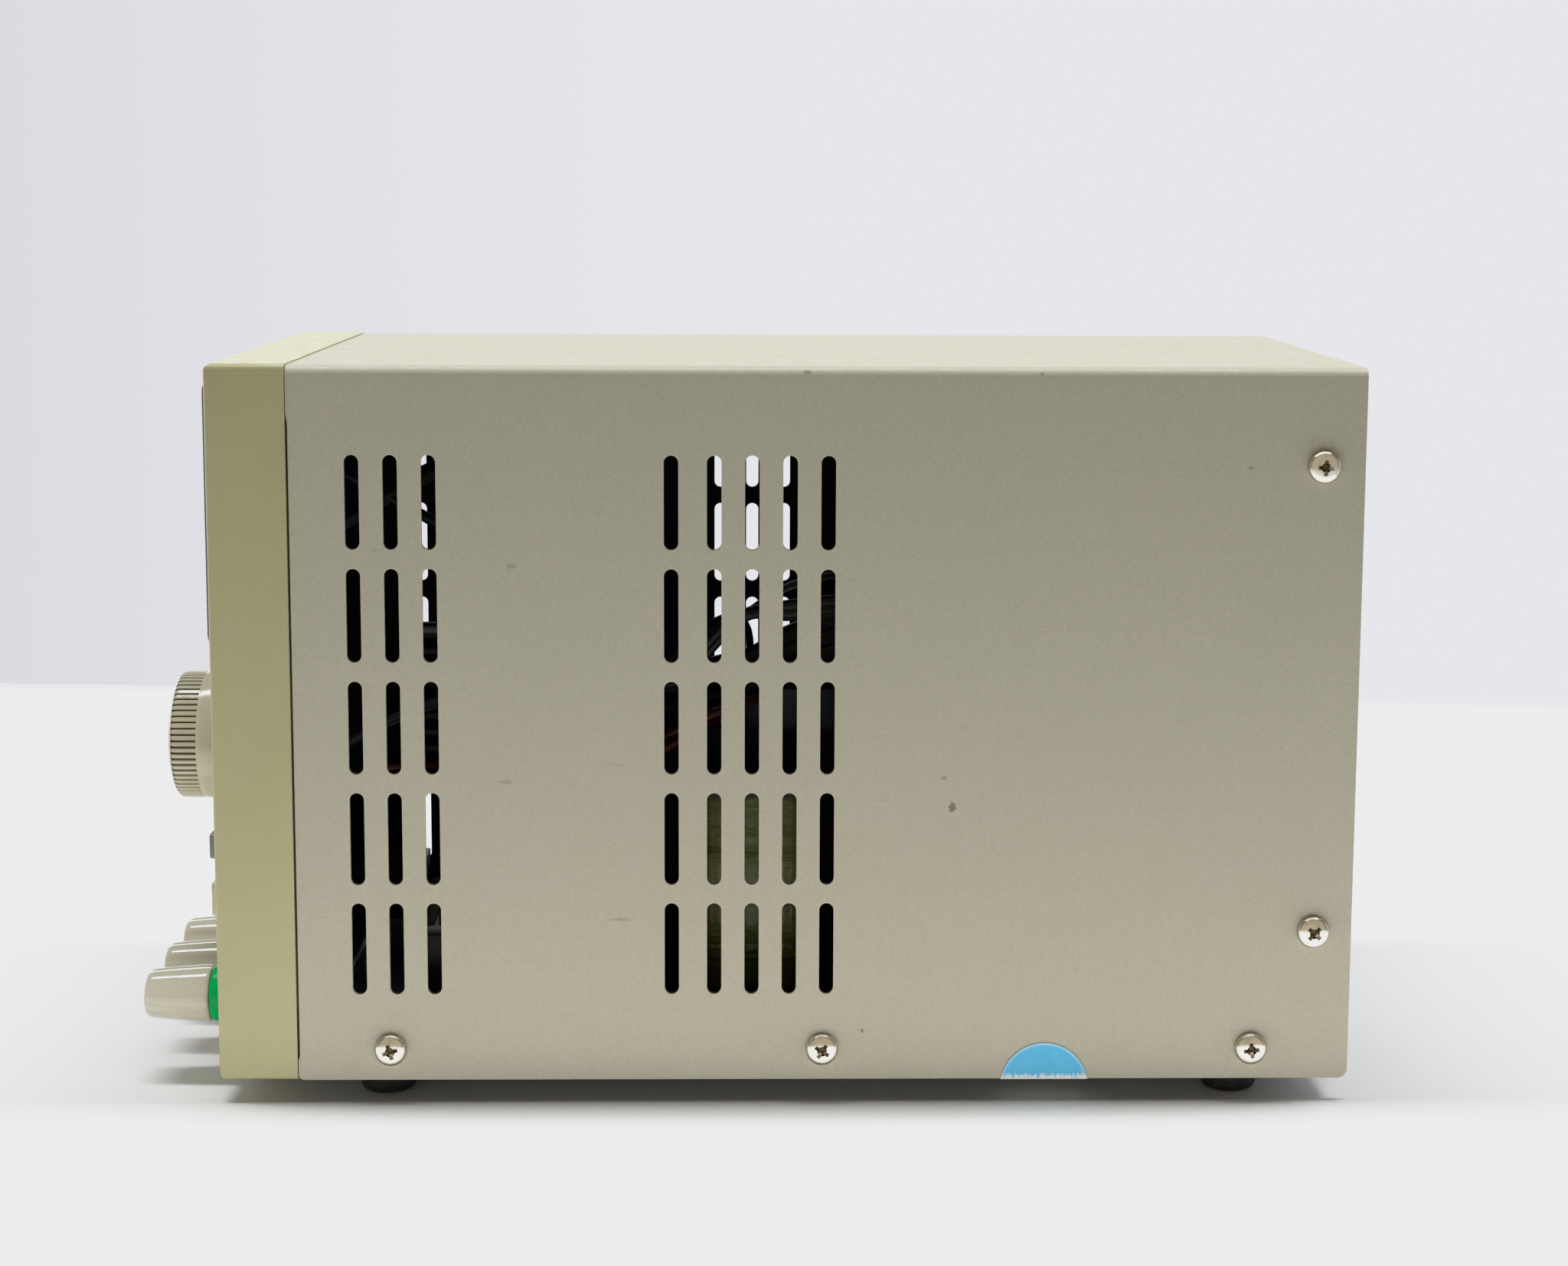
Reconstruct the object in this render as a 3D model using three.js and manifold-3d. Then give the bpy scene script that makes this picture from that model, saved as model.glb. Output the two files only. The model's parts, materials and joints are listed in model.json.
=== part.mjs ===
// Compact linear bench power supply with a single-knob front panel and three binding posts.
// Frame: millimetres, +Z up, +X to the right of a person facing the front, +Y from front to back.
// Origin: on the bench, under the middle of the object's box.
import * as THREE from "three";
import { mergeVertices } from "three/addons/utils/BufferGeometryUtils.js";
import Module from "manifold-3d";

const wasm = await Module();
wasm.setup();

// ---- Driving dimensions ----
const WIDTH = 110; // across the front bezel
const HEIGHT = 156.3; // bench to the top of the bezel
const DEPTH = 257.5; // tips of the binding posts to the rear edge of the cover
const FOOT_HEIGHT = 4.8;
const TERMINAL_REACH = 18.5; // binding posts in front of the bezel
const BEZEL_DEPTH = 16.55;
const SHEET = 1; // steel sheet of the cover, tray and rear panel
const GAP = 0.3; // clearance between neighbouring solids
const FIT = 0.1; // clearance between a shaft and its hole

// ---- Places worked out from them ----
const FRONT = TERMINAL_REACH - DEPTH / 2; // the bezel's front face
const REAR = DEPTH / 2; // the cover's rear edge
const BASE = FOOT_HEIGHT; // the cover's bottom edge
const BEZEL_BACK = FRONT + BEZEL_DEPTH;
const BEZEL_PROUD = 0.3; // the bezel stands this far outside the cover
const COVER_X = WIDTH / 2 - BEZEL_PROUD; // outer face of the cover's sides
const COVER_TOP = HEIGHT - BEZEL_PROUD;
const TRAY_X = COVER_X - SHEET - GAP; // outer face of the tray's side flanges
const FLOOR = BASE + 0.4; // underside of the tray
const FLOOR_TOP = FLOOR + SHEET;
const FLANGE_TOP = BASE + 14;
const REAR_FACE = REAR - 3; // the rear panel is sunk into the cover
const BEZEL_WALL = 2.5;

/** A place along Y, stated as a distance behind the bezel's front face. */
const behindFront = (distance) => FRONT + distance;

/** A place along Z, stated as a height over the cover's bottom edge. */
const overBase = (height) => BASE + height;

// ---- Finishes ----
const finish = (color, roughness, metalness = 0) =>
  new THREE.MeshStandardMaterial({ color, roughness, metalness });

const FINISH = {
  coverPaint: finish(0xb3b09c, 0.6, 0.1),
  bezelPlastic: finish(0xbdb98f, 0.45),
  knobPlastic: finish(0xcfc7ac, 0.35),
  window: finish(0x14110f, 0.08),
  display: finish(0x2a2624, 0.5),
  board: finish(0x1f5b36, 0.55),
  blackPlastic: finish(0x17171a, 0.5),
  redPlastic: finish(0xb3201f, 0.4),
  greenPlastic: finish(0x12925a, 0.4),
  rubber: finish(0x141414, 0.85),
  zincSheet: finish(0xb9bcbd, 0.45, 0.9),
  nickel: finish(0xd8d4c6, 0.25, 1),
  brass: finish(0xc7a04d, 0.3, 1),
  aluminium: finish(0x9a9ca0, 0.45, 0.9),
  core: finish(0x26241f, 0.6, 0.4),
  coilTape: finish(0xb5a83c, 0.5),
  canSleeve: finish(0x1d2a4d, 0.4),
  cable: finish(0x191719, 0.6),
  sealPaper: finish(0x6fb4d6, 0.6),
};

// ---- Outlines ----
const QUARTER = Math.PI / 2;

function roundedRect(width, height, radius, centreX = 0, centreY = 0) {
  const x = width / 2 - radius;
  const y = height / 2 - radius;
  const shape = new THREE.Shape();
  shape.absarc(centreX + x, centreY - y, radius, -QUARTER, 0);
  shape.absarc(centreX + x, centreY + y, radius, 0, QUARTER);
  shape.absarc(centreX - x, centreY + y, radius, QUARTER, 2 * QUARTER);
  shape.absarc(centreX - x, centreY - y, radius, 2 * QUARTER, 3 * QUARTER);
  return shape;
}

/** A slot with half-round ends, standing along the outline's second axis. */
function uprightSlot(width, length, centreX, centreY) {
  const reach = (length - width) / 2;
  const shape = new THREE.Shape();
  shape.absarc(centreX, centreY + reach, width / 2, 0, Math.PI);
  shape.absarc(centreX, centreY - reach, width / 2, Math.PI, 2 * Math.PI);
  return shape;
}

function disc(radius, centreX = 0, centreY = 0) {
  const shape = new THREE.Shape();
  shape.absarc(centreX, centreY, radius, 0, 2 * Math.PI);
  return shape;
}

function polygon(points) {
  return new THREE.Shape(points.map(([x, y]) => new THREE.Vector2(x, y)));
}

// ---- Solids: an extrusion or a turned piece along each axis of the part ----
function extrude(shape, length, { curve = 4, bevel = 0 } = {}) {
  return new THREE.ExtrudeGeometry(shape, {
    depth: length - 2 * bevel,
    curveSegments: curve,
    bevelEnabled: bevel > 0,
    bevelThickness: bevel,
    bevelSize: bevel,
    bevelOffset: -bevel,
    bevelSegments: bevel > 1 ? 2 : 1,
  }).translate(0, 0, bevel);
}

/** The outline's axes run along +Y and +Z. */
function alongX(shape, low, high, options) {
  const axes = new THREE.Matrix4().makeBasis(
    new THREE.Vector3(0, 1, 0),
    new THREE.Vector3(0, 0, 1),
    new THREE.Vector3(1, 0, 0),
  );
  return extrude(shape, high - low, options).applyMatrix4(axes).translate(low, 0, 0);
}

/** The outline's axes run along +X and +Z. */
function alongY(shape, low, high, options) {
  return extrude(shape, high - low, options).rotateX(QUARTER).translate(0, high, 0);
}

/** The outline's axes run along +X and +Y. */
function alongZ(shape, low, high, options) {
  return extrude(shape, high - low, options).translate(0, 0, low);
}

function block([x0, x1], [y0, y1], [z0, z1]) {
  const box = new THREE.BoxGeometry(x1 - x0, y1 - y0, z1 - z0);
  return box.translate((x0 + x1) / 2, (y0 + y1) / 2, (z0 + z1) / 2);
}

/** A piece turned about +Y. The profile holds [radius, y] points with y rising. */
function turned(profile, segments) {
  const points = profile.map(([radius, y]) => new THREE.Vector2(radius, y));
  return new THREE.LatheGeometry(points, segments);
}

function solid(geometry) {
  const bare = geometry.clone();
  bare.deleteAttribute("normal");
  bare.deleteAttribute("uv");
  const merged = mergeVertices(bare, 1e-4);
  const mesh = new wasm.Mesh({
    numProp: 3,
    vertProperties: merged.attributes.position.array,
    triVerts: new Uint32Array(merged.index.array),
  });
  return new wasm.Manifold(mesh);
}

function geometryOf(manifold) {
  const mesh = manifold.getMesh();
  const indexed = new THREE.BufferGeometry();
  indexed.setAttribute("position", new THREE.BufferAttribute(mesh.vertProperties, mesh.numProp));
  indexed.setIndex(new THREE.BufferAttribute(mesh.triVerts, 1));
  const geometry = indexed.toNonIndexed();
  geometry.computeVertexNormals();
  return geometry;
}

function cut(geometry, cutters) {
  const rest = cutters.reduce((body, cutter) => body.subtract(solid(cutter)), solid(geometry));
  return geometryOf(rest);
}

function join(geometries) {
  const [first, ...others] = geometries.map(solid);
  return geometryOf(others.reduce((body, other) => body.add(other), first));
}

// ---- The assembly ----
const assembly = new THREE.Group();
assembly.name = "bench_power_supply";

function addPart(name, geometry, material) {
  const mesh = new THREE.Mesh(geometry, material);
  mesh.name = name;
  assembly.add(mesh);
  return mesh;
}

// ---- Folded cover with its vent slots ----
const SLOT_WIDTH = 3;
const SLOT_LENGTH = 19.6;
const SLOT_PITCH = 7.87;
const SLOT_ROW_PITCH = 23.64;
const SLOT_LOWEST_ROW = 28.5;
const SLOT_ROWS = 5;
const SLOT_GROUPS = [
  { first: 29.9, count: 3 },
  { first: 95.5, count: 1 },
  { first: 104.4, count: 4 },
];
const SCREW_LOW = 6.7; // height of the cover's lower row of screws over its bottom edge
const SCREW_PLACES = [
  [36.2, SCREW_LOW],
  [127.2, SCREW_LOW],
  [218.2, SCREW_LOW],
  [230.8, 32.1],
  [230.3, 130.8],
];
const SCREW_HOLE_RADIUS = 1.75;
const SEAM_WIDTH = 0.45;
const SEAM_LOW = 4.2;
const SEAM_HIGH = 140.4;
const ACROSS = WIDTH / 2 + 5; // well outside the case on both sides

function ventCutters() {
  const cutters = [];
  for (const group of SLOT_GROUPS) {
    for (let column = 0; column < group.count; column += 1) {
      for (let row = 0; row < SLOT_ROWS; row += 1) {
        const y = behindFront(group.first + column * SLOT_PITCH);
        const z = overBase(SLOT_LOWEST_ROW + row * SLOT_ROW_PITCH);
        const slot = uprightSlot(SLOT_WIDTH, SLOT_LENGTH, y, z);
        cutters.push(alongX(slot, -ACROSS, ACROSS, { curve: 2 }));
      }
    }
  }
  return cutters;
}

function screwHoleCutters() {
  return SCREW_PLACES.map(([y, z]) =>
    alongX(disc(SCREW_HOLE_RADIUS, behindFront(y), overBase(z)), -ACROSS, ACROSS, { curve: 5 }),
  );
}

function coverOutline() {
  const bend = 2;
  const innerX = COVER_X - SHEET;
  const innerTop = COVER_TOP - SHEET;
  const innerBend = bend - SHEET;
  const shape = new THREE.Shape();
  shape.moveTo(-COVER_X, BASE);
  shape.absarc(-COVER_X + bend, COVER_TOP - bend, bend, Math.PI, QUARTER, true);
  shape.absarc(COVER_X - bend, COVER_TOP - bend, bend, QUARTER, 0, true);
  shape.lineTo(COVER_X, BASE);
  shape.lineTo(innerX, BASE);
  shape.absarc(innerX - innerBend, innerTop - innerBend, innerBend, 0, QUARTER);
  shape.absarc(-innerX + innerBend, innerTop - innerBend, innerBend, QUARTER, Math.PI);
  shape.lineTo(-innerX, BASE);
  return shape;
}

function addCover() {
  const start = BEZEL_BACK + FIT;
  const folded = alongY(coverOutline(), start, REAR, { curve: 2 });
  const seam = block(
    [-ACROSS, ACROSS],
    [start - 1, BEZEL_BACK + SEAM_WIDTH],
    [overBase(SEAM_LOW), overBase(SEAM_HIGH)],
  );
  const cutters = [seam, ...screwHoleCutters(), ...ventCutters()];
  addPart("top_cover", cut(folded, cutters), FINISH.coverPaint);
}

// ---- Chassis tray and rear panel ----
function addTray() {
  const front = BEZEL_BACK + GAP;
  const inside = TRAY_X - SHEET;
  const outer = block([-TRAY_X, TRAY_X], [front, REAR_FACE], [FLOOR, FLANGE_TOP]);
  const hollow = block([-inside, inside], [front - 1, REAR_FACE - SHEET], [FLOOR_TOP, HEIGHT]);
  addPart("chassis_tray", cut(outer, [hollow, ...screwHoleCutters()]), FINISH.zincSheet);
}

const FAN_X = -17;
const FAN_Z = overBase(105);
const FAN_SIZE = 60;
const INLET_X = 30;
const INLET_Z = overBase(32);
const INLET_WIDTH = 27;
const INLET_HEIGHT = 20;

/** Curved grille slots: rings of arcs with spokes left between them. */
function grilleCutters() {
  const spokes = 4;
  const spokeAngle = 0.2;
  const cutters = [];
  for (const radius of [9, 16, 23]) {
    for (let quarter = 0; quarter < spokes; quarter += 1) {
      const from = quarter * QUARTER + spokeAngle / 2;
      const to = (quarter + 1) * QUARTER - spokeAngle / 2;
      const shape = new THREE.Shape();
      shape.absarc(FAN_X, FAN_Z, radius + 4.5, from, to);
      shape.absarc(FAN_X, FAN_Z, radius, to, from, true);
      cutters.push(alongY(shape, REAR_FACE - 5, REAR_FACE + 5, { curve: 3 }));
    }
  }
  return cutters;
}

function addRearPanel() {
  const low = FLANGE_TOP + GAP;
  const high = COVER_TOP - SHEET - GAP;
  const inside = TRAY_X - SHEET;
  const flangeFront = REAR_FACE - 12;
  const outer = block([-TRAY_X, TRAY_X], [flangeFront, REAR_FACE], [low, high]);
  const hollow = block([-inside, inside], [flangeFront - 1, REAR_FACE - SHEET], [0, HEIGHT]);
  const inletHole = roundedRect(INLET_WIDTH + 2 * FIT, INLET_HEIGHT + 2 * FIT, 2, INLET_X, INLET_Z);
  const cutters = [
    hollow,
    alongY(inletHole, REAR_FACE - 5, REAR_FACE + 5, { curve: 1 }),
    ...grilleCutters(),
    ...screwHoleCutters(),
  ];
  addPart("rear_panel", cut(outer, cutters), FINISH.zincSheet);
}

// ---- Front panel layout, seen from the front ----
const KEY_WIDTH = 11;
const KEY_COLUMNS = [-40, -19, 2, 23, 44];
const SMALL_KEY = { height: 5.4, proud: 2.1 };
const TALL_KEY = { height: 7.2, proud: 1.9 };
const ROW_KNOB = 67.4;
const ROW_SMALL = 49.1;
const ROW_TALL = 37.6;
const KEYS = [
  { name: "step_left_key", column: 0, row: ROW_KNOB, ...SMALL_KEY },
  { name: "step_right_key", column: 1, row: ROW_KNOB, ...SMALL_KEY },
  { name: "memory_key_1", column: 0, row: ROW_SMALL, ...SMALL_KEY },
  { name: "memory_key_2", column: 1, row: ROW_SMALL, ...SMALL_KEY },
  { name: "memory_key_3", column: 2, row: ROW_SMALL, ...SMALL_KEY },
  { name: "memory_key_4", column: 3, row: ROW_SMALL, ...SMALL_KEY },
  { name: "protect_key", column: 4, row: ROW_SMALL, ...SMALL_KEY },
  { name: "select_key", column: 3, row: ROW_TALL, ...TALL_KEY },
  { name: "output_key", column: 4, row: ROW_TALL, ...TALL_KEY },
];
const KNOB_X = 22;
const KNOB_Z = overBase(ROW_KNOB);
const TERMINALS = [
  { name: "negative", x: 0, collar: FINISH.blackPlastic },
  { name: "positive", x: 19, collar: FINISH.redPlastic },
  { name: "ground", x: 38, collar: FINISH.greenPlastic },
];
const TERMINAL_Z = overBase(13.6);
const POWER_X = -40;
const POWER_Z = overBase(16);
const POWER_SIZE = 12;
const WINDOW = { width: 104, height: 54.2, middle: overBase(120.1), proud: 0.9, seat: 1.2 };
const BOARD_FRONT = behindFront(10);
const BOARD_THICKNESS = 1.6;

/** A rounded-rectangle opening right through the bezel's front wall. */
function wallOpening(width, height, x, z, corner) {
  const outline = roundedRect(width, height, corner, x, z);
  return alongY(outline, FRONT - 1, FRONT + BEZEL_WALL + 1, { curve: 1 });
}

function roundWallHole(radius, x, z) {
  return alongY(disc(radius, x, z), FRONT - 1, FRONT + BEZEL_WALL + 1, { curve: 8 });
}

function bezelCutters() {
  const middle = BASE + (HEIGHT - BASE) / 2;
  const innerWidth = WIDTH - 2 * BEZEL_WALL;
  const innerHeight = HEIGHT - BASE - 2 * BEZEL_WALL;
  const hollow = roundedRect(innerWidth, innerHeight, 1.5, 0, middle);
  const seat = roundedRect(WINDOW.width + 2 * FIT, WINDOW.height + 2 * FIT, 2.2, 0, WINDOW.middle);
  const clearance = 2 * GAP;
  return [
    block([-ACROSS, ACROSS], [BEZEL_BACK, BEZEL_BACK + 10], [0, HEIGHT + 5]),
    alongY(hollow, FRONT + BEZEL_WALL, BEZEL_BACK + 5, { curve: 1 }),
    alongY(seat, FRONT - 1, FRONT + WINDOW.seat, { curve: 1 }),
    wallOpening(WINDOW.width - 8, WINDOW.height - 7, 0, WINDOW.middle, 1),
    ...KEYS.map((key) =>
      wallOpening(
        KEY_WIDTH + clearance,
        key.height + clearance,
        KEY_COLUMNS[key.column],
        overBase(key.row),
        1,
      ),
    ),
    wallOpening(POWER_SIZE + clearance, POWER_SIZE + clearance, POWER_X, POWER_Z, 1.6),
    roundWallHole(4, KNOB_X, KNOB_Z),
    ...TERMINALS.map((terminal) => roundWallHole(3.4, terminal.x, TERMINAL_Z)),
  ];
}

function addBezel() {
  const middle = BASE + (HEIGHT - BASE) / 2;
  const outline = roundedRect(WIDTH, HEIGHT - BASE, 1.2, 0, middle);
  const blank = alongY(outline, FRONT, BEZEL_BACK + 5, { curve: 2, bevel: 1.1 });
  addPart("front_bezel", cut(blank, bezelCutters()), FINISH.bezelPlastic);
}

function addWindow() {
  const outline = roundedRect(WINDOW.width, WINDOW.height, 2.1, 0, WINDOW.middle);
  const back = FRONT + WINDOW.seat - FIT;
  const lens = alongY(outline, FRONT - WINDOW.proud, back, { curve: 1, bevel: 0.5 });
  addPart("display_window", lens, FINISH.window);
}

function addFrontBoard() {
  const board = block([-50, 50], [BOARD_FRONT, BOARD_FRONT + BOARD_THICKNESS], [
    overBase(27),
    overBase(146),
  ]);
  addPart("front_board", board, FINISH.board);
  const moduleFront = behindFront(BEZEL_WALL + 0.7);
  const lower = { name: "current_display", z: 98.5 };
  const upper = { name: "voltage_display", z: 121 };
  for (const { name, z } of [lower, upper]) {
    const digits = block([-42, 22], [moduleFront, BOARD_FRONT - FIT], [overBase(z), overBase(z + 21)]);
    addPart(name, digits, FINISH.display);
  }
}

// ---- Keys and the power switch ----
function addKeys() {
  for (const key of KEYS) {
    const x = KEY_COLUMNS[key.column];
    const outline = roundedRect(KEY_WIDTH, key.height, 0.8, x, overBase(key.row));
    const front = FRONT - key.proud;
    const cap = alongY(outline, front, BOARD_FRONT - 1.2, { curve: 1, bevel: 0.4 });
    addPart(key.name, cap, FINISH.knobPlastic);
  }
}

function addPowerSwitch() {
  const cap = alongY(
    roundedRect(POWER_SIZE, POWER_SIZE, 1.5, POWER_X, POWER_Z),
    behindFront(-4),
    behindFront(8),
    { curve: 1, bevel: 0.6 },
  );
  const plunger = alongY(roundedRect(6, 6, 0.5, POWER_X, POWER_Z), behindFront(7), behindFront(18), {
    curve: 1,
  });
  addPart("power_button", join([cap, plunger]), FINISH.knobPlastic);
  const body = block(
    [POWER_X - 7, POWER_X + 7],
    [behindFront(12), behindFront(32)],
    [POWER_Z - 7, POWER_Z + 7],
  );
  const bore = alongY(
    roundedRect(6 + 2 * GAP, 6 + 2 * GAP, 0.5, POWER_X, POWER_Z),
    behindFront(11),
    behindFront(22),
    { curve: 1 },
  );
  addPart("power_switch", cut(body, [bore]), FINISH.blackPlastic);
}

// ---- Rotary encoder and its knob ----
const ENCODER_SHAFT_RADIUS = 3;
const KNOB_RADIUS = 14;
const KNOB_REACH = 14;
const KNOB_SKIRT = 7.4; // the smooth skirt reaches this far in front of the bezel
const KNOB_BACK = 1.4;
const SHAFT_REACH = 11.8;

function shaftBore(low, high) {
  return alongY(disc(ENCODER_SHAFT_RADIUS + FIT, KNOB_X, KNOB_Z), low, high, { curve: 12 });
}

function addEncoder() {
  const housing = block(
    [KNOB_X - 6, KNOB_X + 6],
    [behindFront(3), BOARD_FRONT - FIT],
    [KNOB_Z - 6, KNOB_Z + 6],
  );
  const neck = alongY(disc(3.8, KNOB_X, KNOB_Z), behindFront(-0.8), behindFront(4), { curve: 8 });
  const bored = cut(join([housing, neck]), [shaftBore(FRONT - 2, behindFront(9))]);
  addPart("encoder_body", bored, FINISH.aluminium);
  const shaft = alongY(disc(ENCODER_SHAFT_RADIUS, KNOB_X, KNOB_Z), FRONT - SHAFT_REACH, behindFront(8.8), {
    curve: 12,
  });
  addPart("encoder_shaft", shaft, FINISH.nickel);
}

/** A round outline with fine grip ribs. */
function ribbedOutline(root, tip, ribs, centreX, centreY) {
  const points = [];
  for (let step = 0; step < 2 * ribs; step += 1) {
    const angle = (step * Math.PI) / ribs;
    const radius = step % 2 ? root : tip;
    points.push([centreX + radius * Math.cos(angle), centreY + radius * Math.sin(angle)]);
  }
  return polygon(points);
}

function addKnob() {
  const profile = [
    [0, -KNOB_REACH],
    [10, -KNOB_REACH + 0.1],
    [12.4, -KNOB_REACH + 0.6],
    [13.3, -KNOB_REACH + 1.6],
    [13.5, -KNOB_SKIRT - 0.4],
    [KNOB_RADIUS, -KNOB_SKIRT],
    [KNOB_RADIUS, -KNOB_BACK],
    [0, -KNOB_BACK],
  ];
  const turnedBody = turned(profile, 36).translate(KNOB_X, FRONT, KNOB_Z);
  const ribs = alongY(
    ribbedOutline(KNOB_RADIUS - 0.6, KNOB_RADIUS - 0.1, 36, KNOB_X, KNOB_Z),
    FRONT - KNOB_REACH + 1.6,
    FRONT - KNOB_SKIRT - 0.1,
  );
  const bore = shaftBore(FRONT - SHAFT_REACH - 0.2, FRONT);
  addPart("main_knob", cut(join([turnedBody, ribs]), [bore]), FINISH.knobPlastic);
}

// ---- Binding posts ----
const POST_RADIUS = 3;
const SOCKET_RADIUS = 2; // takes a 4 mm plug
const CAP_BACK = 4.4; // rear face of the screw cap, in front of the bezel
const CAP_LOBES = 6;
const WASHER_RADIUS = 4;
const WASHER_THICKNESS = 0.4;
const COLLAR_RADIUS = 6;

/** Presses shallow finger lobes into a piece turned about the Y axis. */
function lobed(geometry, lobes, depth, beyondRadius) {
  const position = geometry.attributes.position;
  for (let i = 0; i < position.count; i += 1) {
    const radius = Math.hypot(position.getX(i), position.getZ(i));
    if (radius > beyondRadius) {
      const angle = Math.atan2(position.getZ(i), position.getX(i));
      const scale = 1 - (depth / radius) * (0.5 - 0.5 * Math.cos(lobes * angle));
      position.setX(i, position.getX(i) * scale);
      position.setZ(i, position.getZ(i) * scale);
    }
  }
  return geometry;
}

function terminalCap() {
  const bore = POST_RADIUS + FIT;
  const profile = [
    [bore, -CAP_BACK],
    [bore, -TERMINAL_REACH + 0.3],
    [bore + 0.4, -TERMINAL_REACH],
    [4.2, -TERMINAL_REACH],
    [4.9, -TERMINAL_REACH + 0.4],
    [5.2, -TERMINAL_REACH + 1.6],
    [6.1, -CAP_BACK - 2],
    [6.1, -CAP_BACK - 0.3],
    [5.8, -CAP_BACK],
    [bore, -CAP_BACK],
  ];
  return lobed(turned(profile, 4 * CAP_LOBES), CAP_LOBES, 0.35, POST_RADIUS + 1);
}

/** The captive washer, sunk in the collar's front. */
function terminalWasher() {
  const bore = POST_RADIUS + FIT;
  const front = -CAP_BACK + FIT;
  const back = front + WASHER_THICKNESS;
  const profile = [
    [bore, back],
    [bore, front],
    [WASHER_RADIUS, front],
    [WASHER_RADIUS, back],
    [bore, back],
  ];
  return turned(profile, 16);
}

/** The coloured insulating collar between the cap and the bezel, with a recess for the washer. */
function terminalCollar() {
  const bore = POST_RADIUS + FIT;
  const recess = WASHER_RADIUS + GAP;
  const seat = -CAP_BACK + WASHER_THICKNESS + 2 * FIT;
  const front = -CAP_BACK + FIT;
  const profile = [
    [bore, -FIT],
    [bore, seat],
    [recess, seat],
    [recess, front],
    [COLLAR_RADIUS, front],
    [COLLAR_RADIUS, -FIT],
    [bore, -FIT],
  ];
  return turned(profile, 20);
}

function terminalStud() {
  const profile = [
    [0, -TERMINAL_REACH + 15],
    [SOCKET_RADIUS, -TERMINAL_REACH + 15],
    [SOCKET_RADIUS, -TERMINAL_REACH + 1.5],
    [POST_RADIUS, -TERMINAL_REACH + 1.5],
    [POST_RADIUS, 15],
    [0, 15],
  ];
  return turned(profile, 16);
}

function addTerminals() {
  for (const { name, x, collar } of TERMINALS) {
    const pieces = [
      ["cap", terminalCap(), FINISH.knobPlastic],
      ["washer", terminalWasher(), FINISH.nickel],
      ["collar", terminalCollar(), collar],
      ["stud", terminalStud(), FINISH.brass],
    ];
    for (const [piece, geometry, material] of pieces) {
      addPart(`${name}_${piece}`, geometry.translate(x, FRONT, TERMINAL_Z), material);
    }
  }
}

// ---- Pan-head screws with a cross recess ----
function panHeadScrew() {
  const shank = 1.4;
  const profile = [
    [0, -6],
    [shank, -6],
    [shank, 0.05],
    [3.4, 0.05],
    [3.45, 0.8],
    [2.9, 1.6],
    [1.7, 2.05],
    [0, 2.2],
  ];
  const blades = [
    block([-1.9, 1.9], [1.1, 3], [-0.4, 0.4]),
    block([-0.4, 0.4], [1.1, 3], [-1.9, 1.9]),
  ];
  return cut(turned(profile, 10), blades);
}

function addCoverScrews() {
  SCREW_PLACES.forEach(([y, z], index) => {
    const turn = 0.3 + index * 0.7; // each cross was left at its own angle
    for (const [side, name] of [
      [1, "right"],
      [-1, "left"],
    ]) {
      const screw = panHeadScrew().rotateY(turn).rotateZ(-side * QUARTER);
      screw.translate(side * COVER_X, behindFront(y), overBase(z));
      addPart(`cover_screw_${name}_${index + 1}`, screw, FINISH.nickel);
    }
  });
}

// ---- Feet and the seal sticker ----
function addFeet() {
  const profile = [
    [0, 0],
    [4.6, 0],
    [5.7, 0.6],
    [6.2, 2],
    [6.3, FLOOR - FIT],
    [0, FLOOR - FIT],
  ];
  for (const [depthName, y] of [
    ["front", 34.3],
    ["rear", 215.5],
  ]) {
    for (const [sideName, x] of [
      ["left", -44.5],
      ["right", 44.5],
    ]) {
      const foot = turned(profile, 16).rotateX(QUARTER).translate(x, behindFront(y), 0);
      addPart(`${depthName}_${sideName}_foot`, foot, FINISH.rubber);
    }
  }
}

/** A round sticker folded under the cover's edge, so that it bridges the cover and the tray. */
function addSeal() {
  const radius = 9.4;
  const past = 1.5; // the disc's centre lies this far past the fold
  const thick = 0.2;
  const y = behindFront(174.4);
  const inner = COVER_X + 0.05;
  const under = BASE - 0.05;
  const start = Math.asin(past / radius);
  const half = radius * Math.cos(start); // half the length of the fold
  const onSide = new THREE.Shape();
  onSide.absarc(y, BASE - past, radius, start, Math.PI - start);
  const underneath = new THREE.Shape();
  underneath.moveTo(inner + thick, y - half);
  underneath.lineTo(inner + thick, y + half);
  underneath.absarc(inner - past, y, radius, QUARTER - start, 3 * QUARTER + start);
  const flaps = [
    alongX(onSide, inner, inner + thick, { curve: 8 }),
    alongZ(underneath, under - thick, under, { curve: 8 }),
    block([inner, inner + thick], [y - half, y + half], [under - thick, BASE + 0.05]),
  ];
  addPart("warranty_seal", join(flaps), FINISH.sealPaper);
}

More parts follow.
